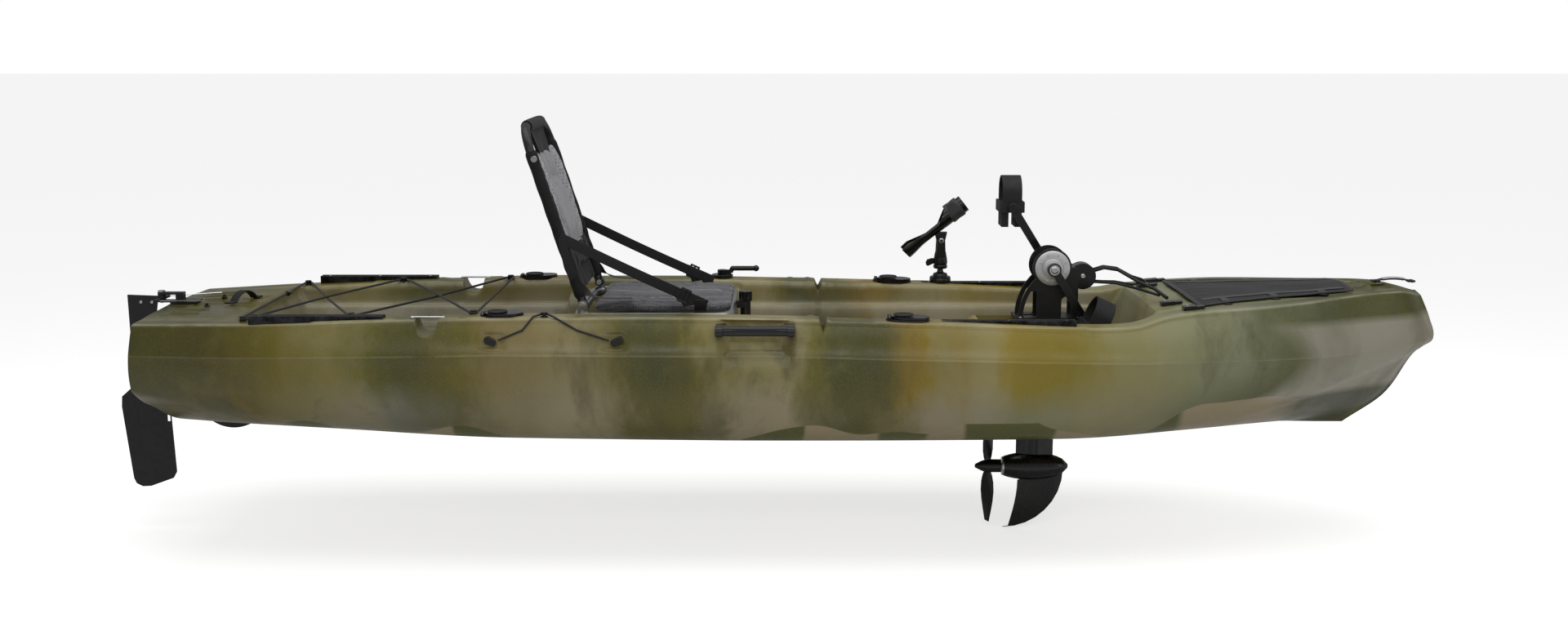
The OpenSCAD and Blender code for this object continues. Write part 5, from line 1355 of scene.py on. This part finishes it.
def make_drive():
    """The drive: stand, housing, discs with their screws, cranks, pedals, hub, stays, shafts and gears."""
    for name, finish, bevel in (("drive_stand", "nylon", 1.5), ("drive_housing", "gloss", 1.2),
                                ("side_discs", "aluminium", 0.6), ("disc_screws", "steel", 0.4),
                                ("crank_axle", "steel", 0.4), ("axle_bearings", "steel", 0.4),
                                ("crank_gear", "gear", 0.3), ("drive_shaft", "gear", 0.3),
                                ("prop_shaft", "steel", 0.3), ("bulb_ring", "steel", 0.4),
                                ("crank_left", "gloss", 1.6), ("crank_right", "gloss", 1.6),
                                ("pedal_left", "dull", 2.0), ("pedal_right", "dull", 2.0),
                                ("pedal_strap_left", "rubber", 1.0), ("pedal_strap_right", "rubber", 1.0),
                                ("stay_hub", "gloss", 1.6)):
        refined(name, FINISH[finish], bevel)
    refined("stay_bars", FINISH["dull"], 0.0)
    rings = Shape()
    for s in (-1, 1):
        y = 44.0
        rings.lathe([(20, 0), (43.6, 0), (43.6, s * 0.8), (41.5, s * 1.6), (28, s * 1.6), (26.5, s * 0.4),
                     (24, s * 0.4), (23, s * 4.6), (20, s * 5.4)], AXLE + (0, s * y, 0), "y", 80)
    rings.build("disc_faces", FINISH["aluminium"], "root", (), "machined_aluminium")
    bolts = Shape()
    for side, angle, s in (("left", CRANK_ANGLE, 1), ("right", CRANK_ANGLE + 180, -1)):
        head = Shape()
        bolt_head(head, AXLE + (0, s * 80.2, 0), "y", 9.5, s * 3.0)
        head.lathe([(0, 0), (13.5, 0), (13.0, s * 1.0), (0, s * 1.0)], AXLE + (0, s * 79.6, 0), "y", 40)
        a = math.radians(angle)
        far = AXLE + CRANK_LENGTH * np.array((math.cos(a), 0, math.sin(a)))
        bolt_head(head, far + (0, s * 80.2, 0), "y", 7, s * 2.6)
        head.build("crank_bolts_" + side, FINISH["steel"], "crank", (), "stainless")
    bolt_head(bolts, STAY + (0, -21, 0), "y", 6.5, -2.4)
    bolt_head(bolts, STAY + (0, 21, 0), "y", 6.5, 2.4)
    for s in (-1, 1):
        for dx in (-78, 70):
            bolt_head(bolts, (AXLE[0] + dx, s * 41, 278.8), "z", 4.6, 2.6)
    bolts.build("drive_bolts", FINISH["steel"], "root", (), "stainless")


def make_propeller():
    """The two-bladed propeller."""
    refined("propeller", FINISH["gloss"], 0.4)


# ---- steering and the rod holder ----
def make_steering():
    """Rudder, bracket, pin, wires, lever and its base."""
    for name, finish, bevel in (("rudder_bracket", "coat", 0.8), ("rudder_hinge_pin", "steel", 0.4),
                                ("rudder_plate", "dull", 1.6), ("lever_base", "gloss", 1.2),
                                ("lever_arm", "gloss", 1.2)):
        refined(name, FINISH[finish], bevel)
    plate_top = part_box("rudder_plate")[1][2] / MM
    screws = Shape()
    for dx in (-53, -25):
        for s in (-1, 1):
            bolt_head(screws, (-1625 + dx, s * 3, plate_top - 19), "y", 4.4, s * 2.4)
    screws.build("rudder_screws", FINISH["steel"], "rudder", (), "stainless")
    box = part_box("steering_wires")
    low, high = (np.array(v) / MM for v in box)
    wires = Shape()
    for s in (-1, 1):
        a, b = np.array((-1623.0, s * 40, low[2] + 1.2)), np.array((high[0], s * 68.0, high[2] - 1.2))
        t = np.linspace(0, 1, 12)[:, None]
        wires.tube(a * (1 - t) + b * t, 1.2, 10)
    piece = wires.build("steering_cables", FINISH["steel"], None, ("steering_wires",), "stainless")
    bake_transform(piece)


def make_holder_arm():
    """The clamp arm: a grooved socket round the ball, tapering up to two cheeks, with its wing lever."""
    centre, half = middle("rod_holder_arm")
    low, x0, y0 = centre[2] - half[2], 388.0, centre[1]
    arm = Shape().lathe([(0, 8), (13, 8), (14, 0), (17, 0), (19, 2.5), (19, 8), (17.8, 9.4), (17.8, 12.6),
                         (19, 14), (18.8, 22), (16.8, 34), (14.6, 46), (0, 46)], (x0, y0, low), "z", 48)
    bolt_z = centre[2] + half[2] - 11
    corner = np.radians(np.arange(0, 181, 15))
    outline = [(11 * math.cos(c), 11 * math.sin(c)) for c in corner] + [(-13, -46), (13, -46)]
    for y in (-18.6, 9.2):
        arm.prism(outline, y, y + 9.4,
                  lambda p: np.stack((x0 + p[..., 0], y0 + p[..., 2], bolt_z + p[..., 1]), -1))
    wing = [(-13, -5), (-20, -7), (-33, -13), (-38, -12), (-40, -4), (-36, 4), (-24, 8), (-13, 7)]
    arm.prism(wing, -5, 5, lambda p: np.stack((x0 + p[..., 0], y0 + p[..., 2], low + 20 + p[..., 1]), -1))
    arm.build("holder_arm_clamp", FINISH["gloss"], "holder_arm", ("rod_holder_arm",), "black_plastic",
              bevel=1.0, angle=40)


def make_cradle():
    """The holder's open cradle, flared at its butt end and cut low in the middle, and its mouth's wrap."""
    pivot = np.array((388.0, middle("rod_holder_base")[0][1], 432.8))
    lean = math.radians(38)
    turn = np.array(((math.cos(lean), 0, -math.sin(lean)), (0, 1, 0), (math.sin(lean), 0, math.cos(lean))))

    def placed(p):
        return (p + (0, 0, 42.0)) @ turn.T + pivot

    rows, cols = 90, 40
    u, v = np.meshgrid(np.linspace(0, 1, rows), np.linspace(-1, 1, cols), indexing="ij")
    x = -95 + 205 * u
    # how far the wall goes up on each side, in degrees from the bottom
    reach = np.radians(lookup(u, ((0, 100), (0.10, 108), (0.2, 98), (0.36, 78), (0.56, 80), (0.68, 118),
                                  (0.76, 150), (1, 158))))
    flare = 5.0 * ease((0.26 - u) / 0.26) - 1.4 * np.sin(np.pi * np.clip((u - 0.15) / 0.5, 0, 1))
    sides = 4.0 * ease((0.16 - u) / 0.16) * np.abs(v) ** 2
    walls = []
    for radius in (24.0, 20.6):
        r = radius + flare
        a = reach * v
        walls.append(np.stack((x - sides, (r + sides) * np.sin(a), -r * np.cos(a)), -1))
    outer, inner = (placed(w) for w in walls)
    cradle = Shape().grid(outer).grid(inner[::-1])
    ring = lambda g: np.concatenate((g[0], g[1:, -1], g[-1, -2::-1], g[-2:0:-1, 0]))
    cradle.grid(np.stack((ring(outer), ring(inner))), wrap=True)
    # a saddle joins the cradle to its pivot
    block = np.array(((-17, -30), (17, -30), (13, -12), (9, 0), (9, 8), (-9, 8), (-9, 0), (-13, -12)), float)
    outline = [(q[0], -q[1] - 8) for q in block]
    saddle = Shape()
    saddle.prism(outline, -8.6, 8.6, lambda p: np.stack((p[..., 0], p[..., 2], p[..., 1]), -1) + pivot)
    cradle.build("holder_cradle_shell", FINISH["gloss"], "holder_cradle", ("rod_holder_cradle",),
                 "black_plastic", bevel=0.6, angle=50)
    saddle.lathe([(0, -8.6), (12, -8.6), (12, 8.6), (0, 8.6)], pivot, "y", 36)
    saddle.lathe([(0, -22), (5, -22), (5, 22), (0, 22)], pivot, "y", 24)
    saddle.build("holder_cradle_saddle", FINISH["gloss"], "holder_cradle", (), "black_plastic", bevel=1.0)
    a = np.linspace(0, 2 * np.pi, 72, endpoint=False)
    x = np.concatenate(([58], np.linspace(58.5, 97.5, 12), [98]))
    rise = np.array([0.0] + [2.6] * 12 + [0.0])
    rise[1:-1] += 0.5 * np.sin(np.linspace(0, 3 * np.pi, 12))
    wave = 0.5 * np.sin(5 * a)
    r = 24.6 + rise[:, None] + wave[None]
    loop = np.stack((x[:, None] + 0 * a, r * np.sin(a), -r * np.cos(a)), -1)
    inner_loop = np.stack((x[:, None] + 0 * a, (24.15 + 0 * r) * np.sin(a), -(24.15 + 0 * r) * np.cos(a)), -1)
    wrap = Shape().grid(placed(np.concatenate((loop, inner_loop[::-1], loop[:1]))), wrap=True)
    tongue = np.array([(66, -6), (90, -6), (90, 20), (86, 26), (70, 26), (66, 20)], float)
    wrap.prism(tongue, -27.9, -24.4, lambda p: placed(np.stack((p[..., 0], p[..., 2], p[..., 1]), -1)))
    wrap.build("holder_wrap", FINISH["strap_grey"], "holder_cradle", ("rod_holder_strap",), "black_rubber",
               bevel=0.6)


def make_rod_holder():
    """The rod holder on its ball: base, clamp arm, cradle and wrap."""
    refined("rod_holder_base", FINISH["gloss"], 1.6)
    make_holder_arm()
    make_cradle()
    centre, half = middle("rod_holder_base")
    top = centre[2] - half[2]
    step = Shape().lathe([(0, 0.5), (27.4, 0.5), (28.8, 2), (28.8, 9), (26.5, 13), (20, 15), (19.6, 20),
                          (17.5, 23), (9, 26), (7.5, 34), (0, 34)], (centre[0], centre[1], top), "z", 56)
    step.build("rod_holder_foot", FINISH["gloss"], "root", (), "black_plastic")
    bolt = Shape()
    bolt_head(bolt, (388, centre[1] - 19.3, 432.8), "y", 7.5, -3)
    bolt.build("rod_holder_bolt", FINISH["steel"], "holder_arm", (), "stainless")


# ---- the camera, lights and floor ----
def make_stage():
    """A pale floor, a bright plain surround, three soft lights and the camera."""
    settings = bpy.context.scene.kayak_stage
    scene = bpy.context.scene
    camera = bpy.data.objects.new("camera", bpy.data.cameras.new("camera"))
    scene.collection.objects.link(camera)
    camera.location = (settings.camera_x, -settings.camera_away, settings.camera_height)
    camera.rotation_euler = (math.radians(90 - settings.camera_tilt), 0, 0)
    camera.data.lens = settings.lens
    camera.data.sensor_width = 36
    camera.data.clip_end = 100
    scene.camera = camera
    finish, tree, _ = new_material("painted studio floor")
    seen = node(tree, "LightPath").outputs["Is Camera Ray"]
    close_material(tree, Base_Color=colour("#f2f2f2"), Roughness=0.9, Specular_IOR_Level=0.1,
                   Emission_Color=colour("#ffffff"),
                   Emission_Strength=calc(tree, "MULTIPLY", seen, settings.floor_glow))
    mesh = bpy.data.meshes.new("floor")
    reach, level = 40, CAD_BOX[0][2] - 0.004
    mesh.from_pydata([(-reach, -reach, level), (reach, -reach, level), (reach, reach, level),
                      (-reach, reach, level)], [], [(0, 1, 2, 3)])
    mesh.materials.append(finish)
    floor = bpy.data.objects.new("floor", mesh)
    scene.collection.objects.link(floor)
    world = bpy.data.worlds.new("studio")
    world.use_nodes = True
    back = world.node_tree.nodes["Background"]
    back.inputs[0].default_value = (1, 1, 1, 1)
    seen = node(world.node_tree, "LightPath").outputs["Is Camera Ray"]
    strength = value_ramp(world.node_tree, seen, 0, 1, settings.surround, 1.0)
    world.node_tree.links.new(strength, back.inputs[1])
    scene.world = world
    lamps = (("overhead", (0.0, -0.3, 2.6), (0, 0, 0), (5.0, 2.2), settings.overhead),
             ("front", (0.2, -3.8, 2.3), (58, 0, 3), (5.2, 0.8), settings.front),
             ("bow", (3.6, -1.6, 1.1), (72, 0, 62), (1.4, 2.4), settings.bow))
    for name, place, turn, size, watts in lamps:
        lamp = bpy.data.lights.new(name, "AREA")
        lamp.shape, lamp.size, lamp.size_y, lamp.energy = "RECTANGLE", size[0], size[1], watts
        thing = bpy.data.objects.new(name, lamp)
        thing.location = place
        thing.rotation_euler = [math.radians(a) for a in turn]
        scene.collection.objects.link(thing)
    scene.view_settings.view_transform = "Standard"


# ---- settings and operators ----
class HullSettings(bpy.types.PropertyGroup):
    """The hull's pigments."""
    saturation: bpy.props.FloatProperty(name="Saturation", description="Strength of the pigments' colours",
                                        default=1.42, min=0, max=2)
    value: bpy.props.FloatProperty(name="Value", description="Brightness of the pigments", default=0.94,
                                   min=0, max=2)


class StageSettings(bpy.types.PropertyGroup):
    """The camera and lights."""
    camera_x: bpy.props.FloatProperty(name="Camera sideways", description="Place along the hull",
                                      default=-0.0378, unit="LENGTH")
    camera_away: bpy.props.FloatProperty(name="Camera distance", description="Distance to the starboard side",
                                         default=4.410, unit="LENGTH")
    camera_height: bpy.props.FloatProperty(name="Camera height", description="Height above the keel",
                                           default=1.0195, unit="LENGTH")
    camera_tilt: bpy.props.FloatProperty(name="Camera tilt", description="Degrees downward", default=9.491)
    lens: bpy.props.FloatProperty(name="Lens", description="Focal length in mm on a 36 mm sensor",
                                  default=40.17)
    surround: bpy.props.FloatProperty(name="Surround", description="Light that the surround gives",
                                      default=0.32)
    floor_glow: bpy.props.FloatProperty(name="Floor glow", description="Added paleness of the floor",
                                        default=0.62)
    overhead: bpy.props.FloatProperty(name="Overhead lamp", description="Watts of the lamp above", default=44)
    front: bpy.props.FloatProperty(name="Front lamp", description="Watts of the lamp in front", default=30)
    bow: bpy.props.FloatProperty(name="Bow lamp", description="Watts of the lamp off the bow", default=7)


class KAYAK_OT_stage(bpy.types.Operator):
    """Add the floor, the lamps and the camera"""
    bl_idname = "kayak.stage"
    bl_label = "Stage"

    def execute(self, context):
        make_stage()
        return {"FINISHED"}


PIECES = (
    ("hull", "Hull", make_hull), ("hatch_cover", "Hatch cover", make_hatch_cover),
    ("deck_fittings", "Deck fittings", make_deck_fittings), ("rod_caps", "Rod caps", make_rod_caps),
    ("bungees", "Bungees", make_bungees), ("seat", "Seat", make_seat),
    ("backrest", "Backrest", make_backrest), ("drive", "Pedal drive", make_drive),
    ("propeller", "Propeller", make_propeller),
    ("steering", "Steering", make_steering), ("rod_holder", "Rod holder", make_rod_holder),
)


def operator_for(name, label, build):
    """An operator that adds one group of pieces."""
    def execute(self, context):
        build()
        return {"FINISHED"}

    return type("KAYAK_OT_" + name, (bpy.types.Operator,), {
        "__doc__": build.__doc__.split(".")[0], "bl_idname": "kayak." + name, "bl_label": label,
        "execute": execute})


class KAYAK_PT_panel(bpy.types.Panel):
    """The kayak's settings and its operators"""
    bl_label = "Pedal Kayak"
    bl_idname = "KAYAK_PT_panel"
    bl_space_type = "VIEW_3D"
    bl_region_type = "UI"
    bl_category = "Kayak"

    def draw(self, context):
        for operator in OPERATORS:
            self.layout.operator(operator.bl_idname)


OPERATORS = tuple(operator_for(*piece) for piece in PIECES) + (KAYAK_OT_stage,)
SETTINGS = (("kayak_hull", HullSettings), ("kayak_stage", StageSettings))


def register():
    """Registers the settings, operators and panel."""
    for name, group in SETTINGS:
        bpy.utils.register_class(group)
        setattr(bpy.types.Scene, name, bpy.props.PointerProperty(type=group))
    for operator in OPERATORS:
        bpy.utils.register_class(operator)
    bpy.utils.register_class(KAYAK_PT_panel)


def unregister():
    """Takes the panel, operators and settings away again."""
    bpy.utils.unregister_class(KAYAK_PT_panel)
    for operator in reversed(OPERATORS):
        bpy.utils.unregister_class(operator)
    for name, group in reversed(SETTINGS):
        delattr(bpy.types.Scene, name)
        bpy.utils.unregister_class(group)


def main():
    """Builds every piece and the stage, and writes the two sizes side by side."""
    register()
    make_finishes()
    for name, _, _ in PIECES:
        getattr(bpy.ops.kayak, name)()
    bpy.ops.kayak.stage()


if __name__ == "__main__":
    main()
